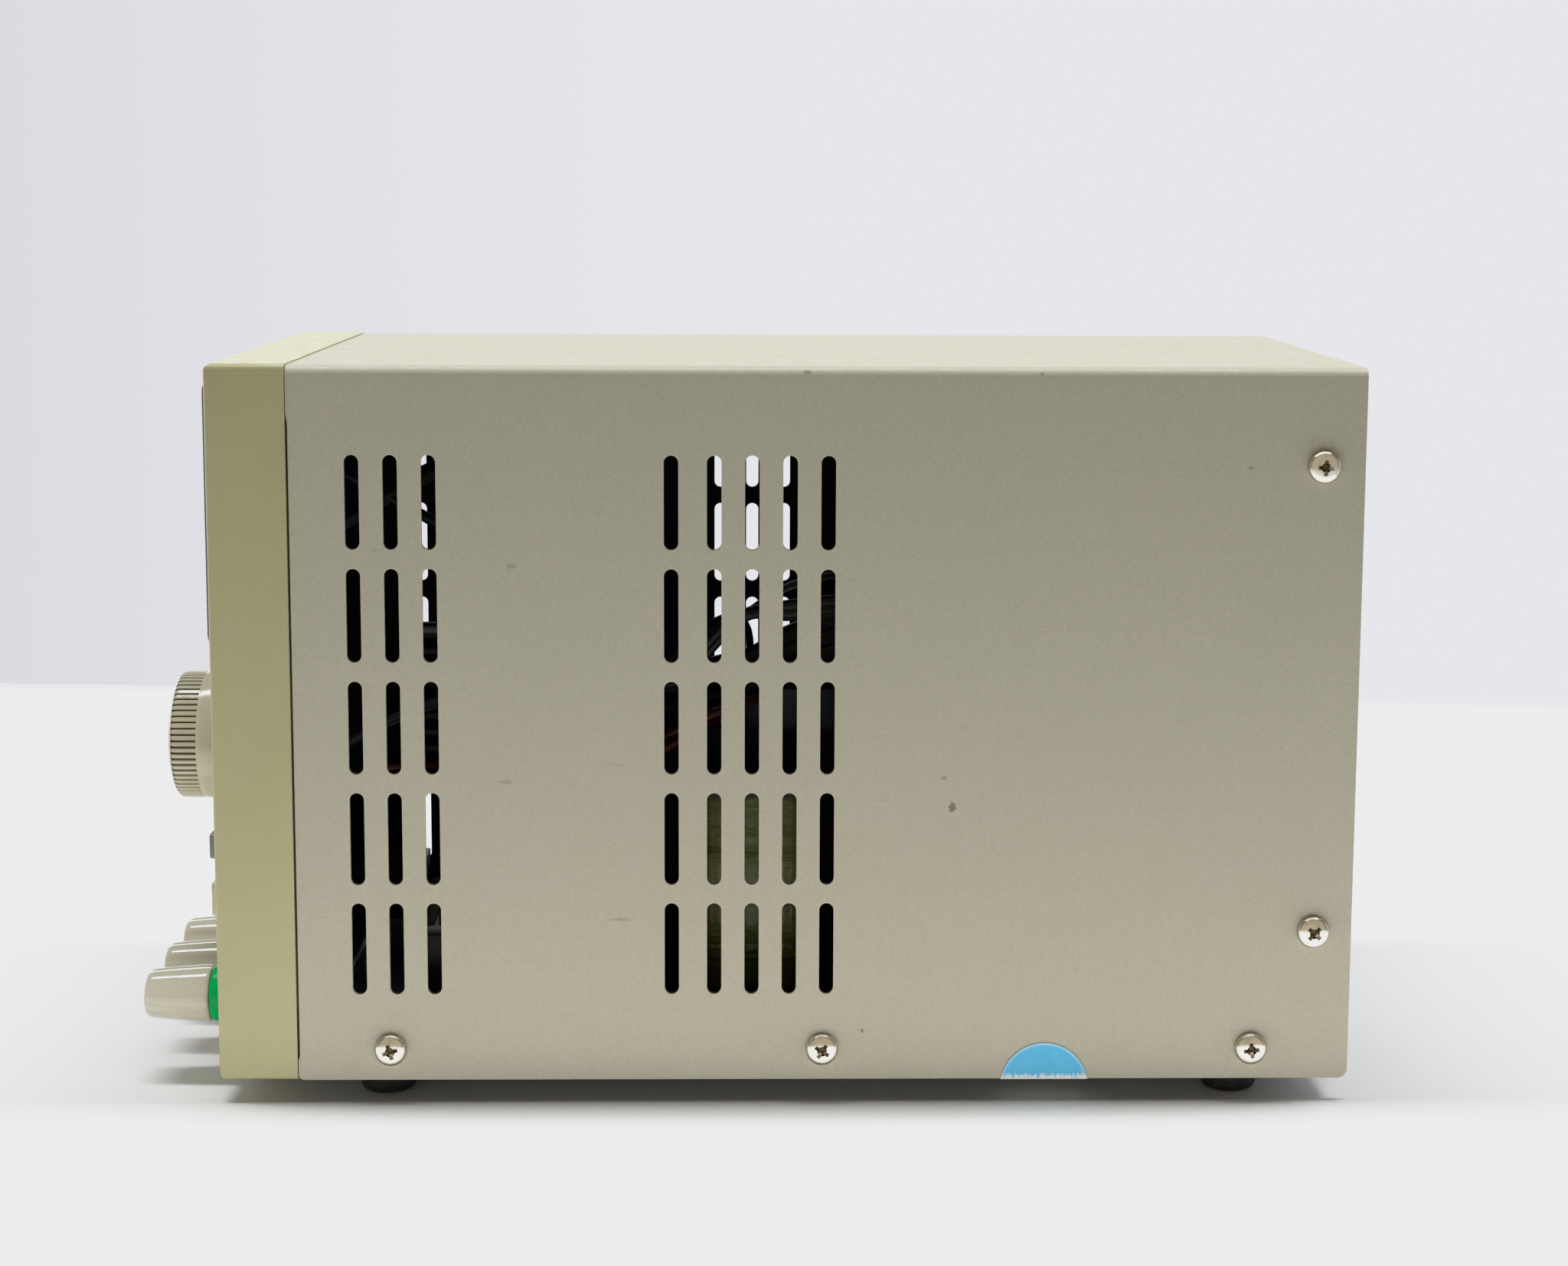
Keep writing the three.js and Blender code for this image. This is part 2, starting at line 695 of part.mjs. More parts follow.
// ---- Inside: transformer, board, capacitors, heatsink, fan, inlet and cables ----
function addTransformer() {
  const stack = 22; // half the thickness of the lamination stack
  const coil = { x: 34, front: 99, back: 125.5, low: 12, high: 58 };
  const leg = { front: 105.4, back: 119.1 };
  const windows = [
    [coil.front - GAP, leg.front],
    [leg.back, coil.back + GAP],
  ].map(([front, back]) =>
    block(
      [-stack - 1, stack + 1],
      [behindFront(front), behindFront(back)],
      [overBase(coil.low - GAP), overBase(coil.high + GAP)],
    ),
  );
  const laminations = block(
    [-stack, stack],
    [behindFront(84), behindFront(140.5)],
    [FLOOR_TOP + FIT, overBase(68.5)],
  );
  addPart("transformer_core", cut(laminations, windows), FINISH.core);
  const middle = behindFront((coil.front + coil.back) / 2);
  const winding = alongZ(
    roundedRect(2 * coil.x, coil.back - coil.front, 5, 0, middle),
    overBase(coil.low),
    overBase(coil.high),
    { curve: 2 },
  );
  const legHole = block(
    [-stack - GAP, stack + GAP],
    [behindFront(leg.front - GAP), behindFront(leg.back + GAP)],
    [BASE, overBase(80)],
  );
  addPart("transformer_coil", cut(winding, [legHole]), FINISH.coilTape);
}

function addMainBoard() {
  const top = overBase(15.6);
  const board = block([-46, 46], [behindFront(38), behindFront(82)], [top - BOARD_THICKNESS, top]);
  addPart("main_board", board, FINISH.board);
  [-20, 20].forEach((x, index) => {
    const can = turned(
      [
        [0, FIT],
        [12.6, FIT],
        [13, 0.6],
        [13, 37.4],
        [12.4, 38],
        [0, 38],
      ],
      20,
    );
    can.rotateX(QUARTER).translate(x, behindFront(66), top);
    addPart(`filter_capacitor_${index + 1}`, can, FINISH.canSleeve);
  });
}

/** An upright spine with flat fins on both sides, drawn across the air flow. */
function addHeatsink() {
  const spine = 3;
  const reach = 24;
  const fins = 9;
  const pitch = 11.5;
  const thick = 2;
  const lowest = overBase(14);
  const right = [[spine, FLOOR_TOP + FIT]];
  for (let fin = 0; fin < fins; fin += 1) {
    const z = lowest + fin * pitch;
    right.push([spine, z], [reach, z], [reach, z + thick]);
    if (fin < fins - 1) {
      right.push([spine, z + thick]);
    }
  }
  const left = right.map(([x, z]) => [-x, z]).reverse();
  const outline = polygon([...right, ...left]);
  addPart("heatsink", alongY(outline, behindFront(154), behindFront(203)), FINISH.aluminium);
}

const FAN_BACK = REAR_FACE - SHEET - FIT;
const FAN_THICKNESS = 20;
const FAN_HUB = 12;

function addFan() {
  const front = FAN_BACK - FAN_THICKNESS;
  const shell = alongY(roundedRect(FAN_SIZE, FAN_SIZE, 4, FAN_X, FAN_Z), front, FAN_BACK, { curve: 1 });
  const duct = alongY(disc(28.5, FAN_X, FAN_Z), front - 1, FAN_BACK + 1, { curve: 12 });
  const motorPlate = alongY(disc(FAN_HUB, FAN_X, FAN_Z), FAN_BACK - 2.5, FAN_BACK, { curve: 8 });
  const struts = [0, 1, 2].map((index) =>
    block([0, 29.5], [FAN_BACK - 2.5, FAN_BACK], [-1.5, 1.5])
      .rotateY(0.5 + (index * 2 * Math.PI) / 3)
      .translate(FAN_X, 0, FAN_Z),
  );
  const bearing = alongY(disc(1.6, FAN_X, FAN_Z), FAN_BACK - 5, FAN_BACK + 1, { curve: 6 });
  const frame = cut(join([cut(shell, [duct]), motorPlate, ...struts]), [bearing]);
  addPart("fan_frame", frame, FINISH.blackPlastic);

  const hub = alongY(disc(FAN_HUB, FAN_X, FAN_Z), front + 1, FAN_BACK - 3.2, { curve: 8 });
  const axle = alongY(disc(1.5, FAN_X, FAN_Z), front + 2, FAN_BACK - 0.5, { curve: 6 });
  const blades = Array.from({ length: 7 }, (_, index) =>
    block([FAN_HUB - 2, 27.6], [-7.5, 7.5], [-0.7, 0.7])
      .rotateX(0.7)
      .translate(0, (front + FAN_BACK - 2.2) / 2, 0)
      .rotateY((index * 2 * Math.PI) / 7)
      .translate(FAN_X, 0, FAN_Z),
  );
  addPart("fan_rotor", join([hub, axle, ...blades]), FINISH.blackPlastic);
}

function addInlet() {
  const flange = alongY(
    roundedRect(INLET_WIDTH + 5, INLET_HEIGHT + 5, 2.5, INLET_X, INLET_Z),
    REAR_FACE + FIT,
    REAR - 0.5,
    { curve: 1 },
  );
  const body = alongY(
    roundedRect(INLET_WIDTH, INLET_HEIGHT, 1.9, INLET_X, INLET_Z),
    REAR_FACE - 22,
    REAR_FACE + 1,
    { curve: 1 },
  );
  const cavity = alongY(
    roundedRect(INLET_WIDTH - 3, INLET_HEIGHT - 4, 3, INLET_X, INLET_Z),
    REAR_FACE - 15,
    REAR + 1,
    { curve: 1 },
  );
  const pins = [
    [-7, -1.5],
    [7, -1.5],
    [0, 2.5],
  ].map(([x, z]) =>
    block(
      [INLET_X + x - 1, INLET_X + x + 1],
      [REAR_FACE - 16, REAR_FACE - 1],
      [INLET_Z + z - 2, INLET_Z + z + 2],
    ),
  );
  addPart("mains_inlet", join([cut(join([flange, body]), [cavity]), ...pins]), FINISH.blackPlastic);
}

function cable(points, radius) {
  const path = new THREE.CatmullRomCurve3(
    points.map(([x, y, z]) => new THREE.Vector3(x, behindFront(y), overBase(z))),
  );
  return new THREE.ExtrudeGeometry(disc(radius), { steps: 18, curveSegments: 4, extrudePath: path });
}

function addHarnesses() {
  const outputWires = [
    [29, 152, 96],
    [28, 120, 93],
    [24, 80, 88],
    [28, 45, 80],
    [34, 13, 62],
  ];
  const mainsWires = [
    [30, 211, 32],
    [18, 209.5, 12],
    [-20, 211, 6],
    [-41, 190, 6],
    [-43, 120, 6],
    [-43, 60, 6],
    [-40, 33.5, 12],
  ];
  addPart("dc_harness", cable(outputWires, 2.2), FINISH.cable);
  addPart("ac_harness", cable(mainsWires, 2.2), FINISH.cable);
}

addCover();
addTray();
addRearPanel();
addBezel();
addWindow();
addFrontBoard();
addKeys();
addPowerSwitch();
addEncoder();
addKnob();
addTerminals();
addCoverScrews();
addFeet();
addSeal();
addTransformer();
addMainBoard();
addHeatsink();
addFan();
addInlet();
addHarnesses();

export default assembly;
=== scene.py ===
"""Looks of the bench power supply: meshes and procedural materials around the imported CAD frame.

Meshes are drawn in millimetres in the case's own frame: x to the right of a person facing the front,
y behind the bezel's front face, z over the cover's bottom edge. piece() carries them to the CAD frame.
"""

import json
import math
import random

import bmesh
import bpy
from mathutils import Matrix, Vector


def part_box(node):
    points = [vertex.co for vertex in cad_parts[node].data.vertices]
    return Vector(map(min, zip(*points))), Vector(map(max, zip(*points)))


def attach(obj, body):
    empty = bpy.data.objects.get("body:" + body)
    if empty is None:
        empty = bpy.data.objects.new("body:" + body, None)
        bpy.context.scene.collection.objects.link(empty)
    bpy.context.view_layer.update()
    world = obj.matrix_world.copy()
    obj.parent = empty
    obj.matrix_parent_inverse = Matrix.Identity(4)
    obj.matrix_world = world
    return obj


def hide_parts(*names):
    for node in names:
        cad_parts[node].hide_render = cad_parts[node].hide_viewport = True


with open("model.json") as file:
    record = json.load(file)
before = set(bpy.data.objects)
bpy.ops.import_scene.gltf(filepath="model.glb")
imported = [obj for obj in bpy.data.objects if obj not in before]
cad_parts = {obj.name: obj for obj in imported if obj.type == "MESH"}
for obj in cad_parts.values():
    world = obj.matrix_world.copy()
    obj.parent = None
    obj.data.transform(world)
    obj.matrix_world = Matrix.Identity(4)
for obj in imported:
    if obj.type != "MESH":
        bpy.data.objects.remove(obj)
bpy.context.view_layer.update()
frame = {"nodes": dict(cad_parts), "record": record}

MM = 0.001
QUARTER = math.pi / 2
scene = bpy.context.scene
random.seed(7)

# ---- Places read from the frame ----
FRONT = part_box("front_bezel")[0].y
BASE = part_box("top_cover")[0].z
CASE = Matrix.Translation((0, FRONT, BASE)) @ Matrix.Scale(MM, 4)


def span(node):
    """The lowest and the highest corner of a CAD node, in the case's millimetres."""
    to_case = CASE.inverted()
    return [to_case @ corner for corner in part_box(node)]


def middle(node):
    low, high = span(node)
    return (low + high) / 2


bezel_high = span("front_bezel")[1]
cover_low, cover_high = span("top_cover")
panel_low, panel_high = span("rear_panel")
tray_low, tray_high = span("chassis_tray")
SHEET = 1.0  # thickness of the cover, the tray and the rear panel
WALL = 2.5  # thickness of the bezel's moulding
BODY_OF = {node: body for body, nodes in frame["record"]["behaviour"]["bodies"].items() for node in nodes}
SEAL_RADIUS = 9.4
SEAL_PAST = 1.5  # how far under the cover's edge the seal's middle lies
ACROSS = 65.0  # well outside the case on both sides


# ---- Mesh tools ----
def written(work, mesh=None):
    """Ends the work on a bmesh and gives it back as a mesh."""
    mesh = mesh or bpy.data.meshes.new("drawn")
    work.to_mesh(mesh)
    work.free()
    return mesh


def smoothed(mesh, sharp_angle=35):
    mesh.shade_smooth()
    mesh.set_sharp_from_angle(angle=math.radians(sharp_angle))
    return mesh


def finish_mesh(mesh, sharp_angle=35):
    """Closes up a mesh, turns its faces outwards and smooths all but its sharp edges."""
    work = bmesh.new()
    work.from_mesh(mesh)
    bmesh.ops.remove_doubles(work, verts=work.verts, dist=0.002)
    bmesh.ops.dissolve_degenerate(work, edges=work.edges, dist=0.001)
    bmesh.ops.recalc_face_normals(work, faces=work.faces)
    return smoothed(written(work, mesh), sharp_angle)


def join_rings(work, rings):
    """Faces between each ring of points and the next. A ring of one point closes to a tip."""
    for lower, upper in zip(rings, rings[1:]):
        count = max(len(lower), len(upper))
        for step in range(count):
            after = (step + 1) % count
            if len(lower) == 1 and len(upper) > 1:
                work.faces.new((lower[0], upper[after], upper[step]))
            elif len(upper) == 1 and len(lower) > 1:
                work.faces.new((lower[step], lower[after], upper[0]))
            elif len(lower) > 1:
                work.faces.new((lower[step], lower[after], upper[after], upper[step]))


def piece(name, mesh, material=None, node=None):
    """Puts a mesh in the scene as a named piece. One that stands for a CAD node rides on the node's body
    and hides the node. Any other piece rides on the root."""
    mesh.name = name
    mesh.transform(CASE)
    obj = bpy.data.objects.new(name, mesh)
    scene.collection.objects.link(obj)
    if not mesh.materials:
        mesh.materials.append(material)
    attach(obj, BODY_OF.get(node, "root"))
    if node:
        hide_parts(node)
    return obj


def painted(mesh, material):
    """Gives a mesh its material before it is merged with others."""
    mesh.materials.clear()
    mesh.materials.append(material)
    return mesh


def merged(*meshes):
    """One mesh from several. Each keeps its own material."""
    work = bmesh.new()
    materials = []
    for mesh in meshes:
        start = len(work.faces)
        places = []
        for material in mesh.materials:
            if material not in materials:
                materials.append(material)
            places.append(materials.index(material))
        work.from_mesh(mesh)
        work.faces.ensure_lookup_table()
        for face in work.faces[start:]:
            if places:
                face.material_index = places[face.material_index]
    result = written(work)
    for material in materials:
        result.materials.append(material)
    return smoothed(result)


def moved(mesh, *steps):
    """The mesh after each transformation in turn."""
    for step in steps:
        mesh.transform(step)
    return mesh


def turn(angle, axis):
    return Matrix.Rotation(angle, 4, axis)


def shift(x, y, z):
    return Matrix.Translation((x, y, z))


# Maps from a drawing's own (x, y, depth) to the part's axes.
ALONG_X = Matrix(((0, 0, 1, 0), (1, 0, 0, 0), (0, 1, 0, 0), (0, 0, 0, 1)))
ALONG_Y = Matrix(((1, 0, 0, 0), (0, 0, -1, 0), (0, 1, 0, 0), (0, 0, 0, 1)))
ALONG_Z = Matrix.Identity(4)


def arc(centre_x, centre_y, radius, start, stop, steps):
    points = []
    for step in range(steps + 1):
        angle = start + (stop - start) * step / steps
        points.append((centre_x + radius * math.cos(angle), centre_y + radius * math.sin(angle)))
    return points


def rounded_rect(width, height, radius, centre_x=0.0, centre_y=0.0, steps=8):
    x = width / 2 - radius
    y = height / 2 - radius
    points = []
    for index, (side_x, side_y) in enumerate(((1, -1), (1, 1), (-1, 1), (-1, -1))):
        start = (index - 1) * QUARTER
        corner = (centre_x + side_x * x, centre_y + side_y * y)
        points += arc(*corner, radius, start, start + QUARTER, steps)
    return points


def circle(radius, centre_x=0.0, centre_y=0.0, steps=48):
    return arc(centre_x, centre_y, radius, 0, 2 * math.pi, steps)[:-1]


def rect(left, right, low, high):
    return [(left, low), (right, low), (right, high), (left, high)]


def face_outline(node, radius, grow=0.0):
    """The rounded outline of a CAD node seen from the front."""
    low, high = span(node)
    centre = (low + high) / 2
    return rounded_rect(high.x - low.x + grow, high.z - low.z + grow, radius, centre.x, centre.z)


def block(low, high):
    """A plain block between two corners, for cutting with and for parts inside the case."""
    return plate([rect(low[0], high[0], low[1], high[1])], low[2], high[2], ALONG_Z)


def mesh_of_curve(curve):
    holder = bpy.data.objects.new("curve", curve)
    mesh = bpy.data.meshes.new_from_object(holder)
    bpy.data.objects.remove(holder)
    bpy.data.curves.remove(curve)
    return mesh


def plate(outlines, low, high, along=ALONG_Y, bevel=0.0, bevel_steps=2):
    """A flat plate: the first outline is its edge and the others are holes. Its rims may be rounded."""
    curve = bpy.data.curves.new("plate", "CURVE")
    curve.dimensions = "2D"
    curve.fill_mode = "BOTH"
    curve.extrude = (high - low) / 2 - bevel
    curve.bevel_depth = bevel
    curve.bevel_resolution = bevel_steps
    curve.offset = -bevel
    for outline in outlines:
        spline = curve.splines.new("POLY")
        spline.points.add(len(outline) - 1)
        for point, (x, y) in zip(spline.points, outline):
            point.co = (x, y, 0, 1)
        spline.use_cyclic_u = True
    mesh = sharpen_flats(finish_mesh(mesh_of_curve(curve)))
    centre = (low + high) / 2
    if along is ALONG_Y:
        centre = -centre
    return moved(mesh, shift(0, 0, centre), along)


def sharpen_flats(mesh):
    """Keeps a plate's two flat faces flat by making their rims sharp."""
    work = bmesh.new()
    work.from_mesh(mesh)
    for edge in work.edges:
        flats = [abs(face.normal.z) > 0.9999 for face in edge.link_faces]
        if len(flats) == 2 and flats[0] != flats[1]:
            edge.smooth = False
    return written(work, mesh)


def lathe(profile, segments=64, wave=None):
    """A piece turned about Z from (radius, height) points. wave(angle, height) is added to the radius."""
    work = bmesh.new()
    rings = []
    for radius, height in profile:
        if radius < 1e-6:
            rings.append([work.verts.new((0, 0, height))])
            continue
        ring = []
        for step in range(segments):
            angle = 2 * math.pi * step / segments
            size = radius + (wave(angle, height) if wave else 0.0)
            ring.append(work.verts.new((size * math.cos(angle), size * math.sin(angle), height)))
        rings.append(ring)
    if len(rings[0]) > 1 and len(rings[-1]) > 1:
        rings.append(rings[0])
    join_rings(work, rings)
    return finish_mesh(written(work))


def standing(mesh, node):
    """A piece turned about Z, set down in the middle of a CAD node's lowest level."""
    low, high = span(node)
    return moved(mesh, shift((low.x + high.x) / 2, (low.y + high.y) / 2, low.z))


def facing_front(mesh, x, z, y=0.0):
    """A piece turned about Z, laid over so that its +Z points out of the front panel."""
    return moved(mesh, turn(QUARTER, "X"), shift(x, y, z))


def carved(mesh, cutters):
    """The mesh with the cutters' volume taken away."""
    target = bpy.data.objects.new("target", mesh)
    tool = bpy.data.objects.new("tool", merged(*cutters))
    scene.collection.objects.link(target)
    scene.collection.objects.link(tool)
    cut = target.modifiers.new("cut", "BOOLEAN")
    cut.object = tool
    cut.operation = "DIFFERENCE"
    cut.solver = "EXACT"
    cut.use_self = True
    result = bpy.data.meshes.new_from_object(target.evaluated_get(bpy.context.evaluated_depsgraph_get()))
    bpy.data.objects.remove(target)
    bpy.data.objects.remove(tool)
    result.materials.clear()
    return result


def soften(obj, width, segments=3, angle=50):
    """Rounds a piece's sharp edges by width millimetres and keeps its large faces flat."""
    bevel = obj.modifiers.new("rounded edges", "BEVEL")
    bevel.width = width * MM
    bevel.segments = segments
    bevel.limit_method = "ANGLE"
    bevel.angle_limit = math.radians(angle)
    bevel.use_clamp_overlap = True
    flat = obj.modifiers.new("flat faces", "WEIGHTED_NORMAL")
    flat.keep_sharp = False
    flat.weight = 100
    obj.data.shade_smooth()
    return obj


def strand(points, radius):
    """A round wire through the points."""
    curve = bpy.data.curves.new("strand", "CURVE")
    curve.dimensions = "3D"
    curve.bevel_depth = radius
    curve.bevel_resolution = 3
    curve.resolution_u = 10
    curve.use_fill_caps = True
    spline = curve.splines.new("BEZIER")
    spline.bezier_points.add(len(points) - 1)
    for knot, point in zip(spline.bezier_points, points):
        knot.co = point
        knot.handle_left_type = "AUTO"
        knot.handle_right_type = "AUTO"
    return finish_mesh(mesh_of_curve(curve), 60)


# ---- Materials ----
class Shading:
    """Short ways to add nodes to a node tree."""

    def __init__(self, tree):
        self.tree = tree

    def add(self, kind, inputs=None, **settings):
        node = self.tree.nodes.new(kind)
        for key, value in settings.items():
            setattr(node, key, value)
        for key, value in (inputs or {}).items():
            self.join(value, node.inputs[key])
        return node

    def join(self, value, socket):
        if isinstance(value, bpy.types.NodeSocket):
            self.tree.links.new(value, socket)
        else:
            socket.default_value = value

    def range(self, value, low, high, out_low=0.0, out_high=1.0):
        inputs = {"Value": value, "From Min": low, "From Max": high}
        inputs |= {"To Min": out_low, "To Max": out_high}
        return self.add("ShaderNodeMapRange", inputs).outputs[0]

    def math(self, operation, first, second=0.0):
        node = self.add("ShaderNodeMath", operation=operation)
        self.join(first, node.inputs[0])
        self.join(second, node.inputs[1])
        return node.outputs[0]

    def mix(self, share, first, second):
        node = self.add("ShaderNodeMix", data_type="RGBA")
        for value, index in ((share, 0), (first, 6), (second, 7)):
            self.join(value, node.inputs[index])
        return node.outputs[2]


class Finish(Shading):
    """A procedural material. Its textures are laid out in millimetres on the part."""

    def __init__(self, name, color, roughness=0.5, metallic=0.0, **inputs):
        self.material = bpy.data.materials.new(name)
        self.material.use_nodes = True
        self.material.diffuse_color = (*color, 1)
        super().__init__(self.material.node_tree)
        self.shader = self.tree.nodes["Principled BSDF"]
        self.place = self.add("ShaderNodeTexCoord").outputs["Object"]
        self.color = (*color, 1)
        self.set("Base Color", self.color)
        self.set("Roughness", roughness)
        self.set("Metallic", metallic)
        for key, value in inputs.items():
            self.set(key.replace("_", " "), value)

    def set(self, name, value):
        self.join(value, self.shader.inputs[name])

    def mapped(self, size, stretch=(1, 1, 1)):
        """Texture coordinates in which one unit is size millimetres, longer along any stretched axis."""
        scale = [1 / (size * MM * part) for part in stretch]
        return self.add("ShaderNodeMapping", {"Vector": self.place, "Scale": scale}).outputs[0]

    def noise(self, size, detail=3.0, stretch=(1, 1, 1)):
        inputs = {"Vector": self.mapped(size, stretch), "Scale": 1.0, "Detail": detail}
        return self.add("ShaderNodeTexNoise", inputs).outputs[0]

    def cells(self, size, **settings):
        """Random cells: the distance to each one's middle, and one random value for each."""
        inputs = {"Vector": self.mapped(size), "Scale": 1.0}
        outputs = self.add("ShaderNodeTexVoronoi", inputs, **settings).outputs
        split = self.add("ShaderNodeSeparateColor", {"Color": outputs["Color"]})
        return outputs["Distance"], split.outputs[0]

    def specks(self, spacing, radius, share=0.5):
        """1 inside small dots, spread one to a cell; share is the part of the cells that hold one."""
        distance, value = self.cells(spacing)
        return self.math("LESS_THAN", distance, self.range(value, 1 - share, 1, 0, radius / spacing))

    def vector(self, operation, first, second=(0, 0, 0)):
        outputs = self.add("ShaderNodeVectorMath", {0: first, 1: second}, operation=operation).outputs
        return outputs["Value" if operation in ("LENGTH", "DOT_PRODUCT") else "Vector"]

    def distance(self, centre, scale):
        """How far from a centre a place is, when lengths along each axis count scale times."""
        offset = self.vector("SUBTRACT", self.place, centre)
        return self.vector("LENGTH", self.vector("MULTIPLY", offset, scale))

    def along(self, axis):
        return self.add("ShaderNodeSeparateXYZ", {"Vector": self.place}).outputs[axis]

    def edges(self, radius):
        """1 on the sharp edges of the shape, falling to 0 within radius millimetres."""
        soft = self.add("ShaderNodeBevel", {"Radius": radius * MM}, samples=4).outputs[0]
        hard = self.add("ShaderNodeNewGeometry").outputs["Normal"]
        return self.range(self.vector("DOT_PRODUCT", soft, hard), 0.97, 0.8)

    def tint(self, share, other, limit=1.0):
        """Blends the base colour towards another one by share, times limit."""
        if limit < 1:
            share = self.math("MULTIPLY", share, limit)
        self.color = self.mix(share, self.color, (*other, 1))
        self.set("Base Color", self.color)

    def blotch(self, other, size, detail, low, high, limit=1.0, stretch=(1, 1, 1)):
        """Patches of another colour about size millimetres across, up to limit strong."""
        self.tint(self.range(self.noise(size, detail, stretch), low, high, 0, limit), other)

    def uneven(self, size, detail, smooth, rough, stretch=(1, 1, 1)):
        """Roughness that wanders between two values."""
        self.set("Roughness", self.range(self.noise(size, detail, stretch), 0.3, 0.7, smooth, rough))

    def bump(self, height, depth, strength=1.0):
        """Raises the surface by depth millimetres where height is 1."""
        inputs = {"Height": height, "Distance": depth * MM, "Strength": strength}
        self.set("Normal", self.add("ShaderNodeBump", inputs).outputs[0])

    def grain(self, size, detail, depth, strength=1.0, stretch=(1, 1, 1)):
        self.bump(self.noise(size, detail, stretch), depth, strength)

    def spot(self, y, z, long, tall, limit):
        """limit inside an uneven oval mark on the right-hand side of the part, and 0 outside it."""
        diameters = (0, 2 / (long * MM), 2 / (tall * MM))
        reach = self.distance((0, FRONT + y * MM, BASE + z * MM), diameters)
        ragged = self.math("ADD", reach, self.range(self.noise(0.9, 3), 0.3, 0.7, -0.5, 0.5))
        inside = self.range(ragged, 1.1, 0.8, 0, limit)
        return self.math("MULTIPLY", inside, self.math("GREATER_THAN", self.along(0), 0))


def darker(color, share):
    return tuple(share * part for part in color)


# Chips and scuffs in the paint: behind the front, over the base, length, height and depth of colour.
PAINT_MARKS = (
    (154.3, 58.8, 1.3, 2.2, 0.8),
    (152.3, 65.2, 1.2, 0.9, 0.45),
    (135.7, 10.7, 0.9, 0.9, 0.7),
    (62.7, 109.8, 2.2, 1.2, 0.3),
    (84.8, 34.9, 5.0, 0.7, 0.3),
    (61.0, 64.4, 3.0, 0.8, 0.3),
    (215.1, 130.6, 0.9, 0.8, 0.5),
    (123.5, 150.1, 1.4, 0.8, 0.5),
    (171.6, 149.8, 1.2, 0.7, 0.5),
)


def powder_coat():
    """Warm grey powder coat: fine orange peel, faint blotches, a few dark specks, and pale edges that are
    partly wear and partly a painted highlight.
    """
    look = Finish("cover powder coat", (0.455, 0.43, 0.325), 0.52)
    look.blotch((0.475, 0.445, 0.35), 38, 4, 0.35, 0.65, 0.5)
    look.blotch((0.385, 0.375, 0.28), 1.3, 2, 0.3, 0.7, 0.4)
    look.blotch((0.55, 0.525, 0.425), 0.42, 1, 0.35, 0.7, 0.42)
    look.tint(look.specks(17, 0.34, 0.45), (0.13, 0.12, 0.10), 0.6)
    look.tint(look.specks(6, 0.16, 0.4), (0.2, 0.19, 0.15), 0.45)
    for mark in PAINT_MARKS:
        look.tint(look.spot(*mark), (0.11, 0.10, 0.085))
    look.blotch((0.30, 0.28, 0.22), 7, 6, 0.715, 0.75, 0.35, (1, 2.6, 0.22))
    # Paler on the sharp edges and slot rims: partly wear, partly a painted highlight where the rounded rims
    # catch the light.
    look.tint(look.edges(0.5), (0.72, 0.70, 0.60), 0.35)
    look.uneven(5, 3, 0.46, 0.6)
    look.grain(0.55, 2, 0.035, 0.55)
    return look.material


def inside_shade_finish():
    """Painted shade inside the case: near-black inner faces. The cover's rim behind the rear panel has the
    outer colour.
    """
    look = Finish("cover inside", (0.018, 0.018, 0.018), 0.75)
    look.blotch((0.03, 0.029, 0.027), 9, 4, 0.4, 0.7, 0.5)
    rim = look.math("GREATER_THAN", look.along(1), FRONT + (panel_high.y - SHEET) * MM)
    look.tint(rim, (0.42, 0.40, 0.30))
    look.grain(0.8, 2, 0.03)
    return look.material


def aged_plastic(name, color, yellow, roughness, coat=0.12):
    """Ivory moulding that has yellowed unevenly, with fine grain, smudges and tiny pits."""
    look = Finish(name, color, roughness, Coat_Weight=coat, Coat_Roughness=roughness)
    look.blotch(yellow, 30, 5, 0.38, 0.68, 0.6)
    look.blotch(darker(color, 0.8), 0.9, 2, 0.35, 0.7, 0.16)
    look.tint(look.specks(15, 0.3, 0.4), (0.16, 0.14, 0.09), 0.55)
    look.blotch((0.22, 0.20, 0.14), 6, 5, 0.68, 0.78, 0.16, (1, 1, 0.4))
    look.uneven(4, 4, roughness - 0.06, roughness + 0.08)
    look.grain(0.35, 2, 0.012, 0.5)
    return look


def knob_with_groove_shade(reach):
    """The knob's ivory moulding, with painted shade in the bottoms of the grip grooves."""
    look = aged_plastic("knob ivory", (0.56, 0.535, 0.385), (0.53, 0.49, 0.33), 0.2)
    radius = look.distance((KNOB_X * MM, 0, BASE + KNOB_Z * MM), (1, 0, 1))
    deep = look.range(radius, (GRIP - 0.08) * MM, (GRIP - 0.4) * MM, 0, 0.85)
    forward = look.math("SUBTRACT", FRONT, look.along(1))
    behind_edge = look.math("LESS_THAN", forward, (reach - 1) * MM)
    past_skirt = look.math("GREATER_THAN", forward, SKIRT * MM)
    groove = look.math("MULTIPLY", behind_edge, past_skirt)
    # Dark brown deep in the grooves, between the skirt and the front edge: painted shade.
    look.tint(look.math("MULTIPLY", deep, groove), (0.10, 0.08, 0.045))
    return look.material


def glossy_moulding(name, color, coat=0.4, specular=0.5):
    look = Finish(name, color, 0.22, Coat_Weight=coat, Coat_Roughness=0.12, Specular_IOR_Level=specular)
    look.blotch(darker(color, 0.7), 3, 3, 0.4, 0.7, 0.25)
    look.uneven(1.5, 4, 0.16, 0.3)
    return look.material


def black_plastic():
    look = Finish("black moulding", (0.02, 0.02, 0.021), 0.42)
    look.blotch((0.05, 0.048, 0.045), 6, 4, 0.45, 0.75, 0.35)
    look.grain(0.5, 2, 0.02, 0.6)
    return look.material


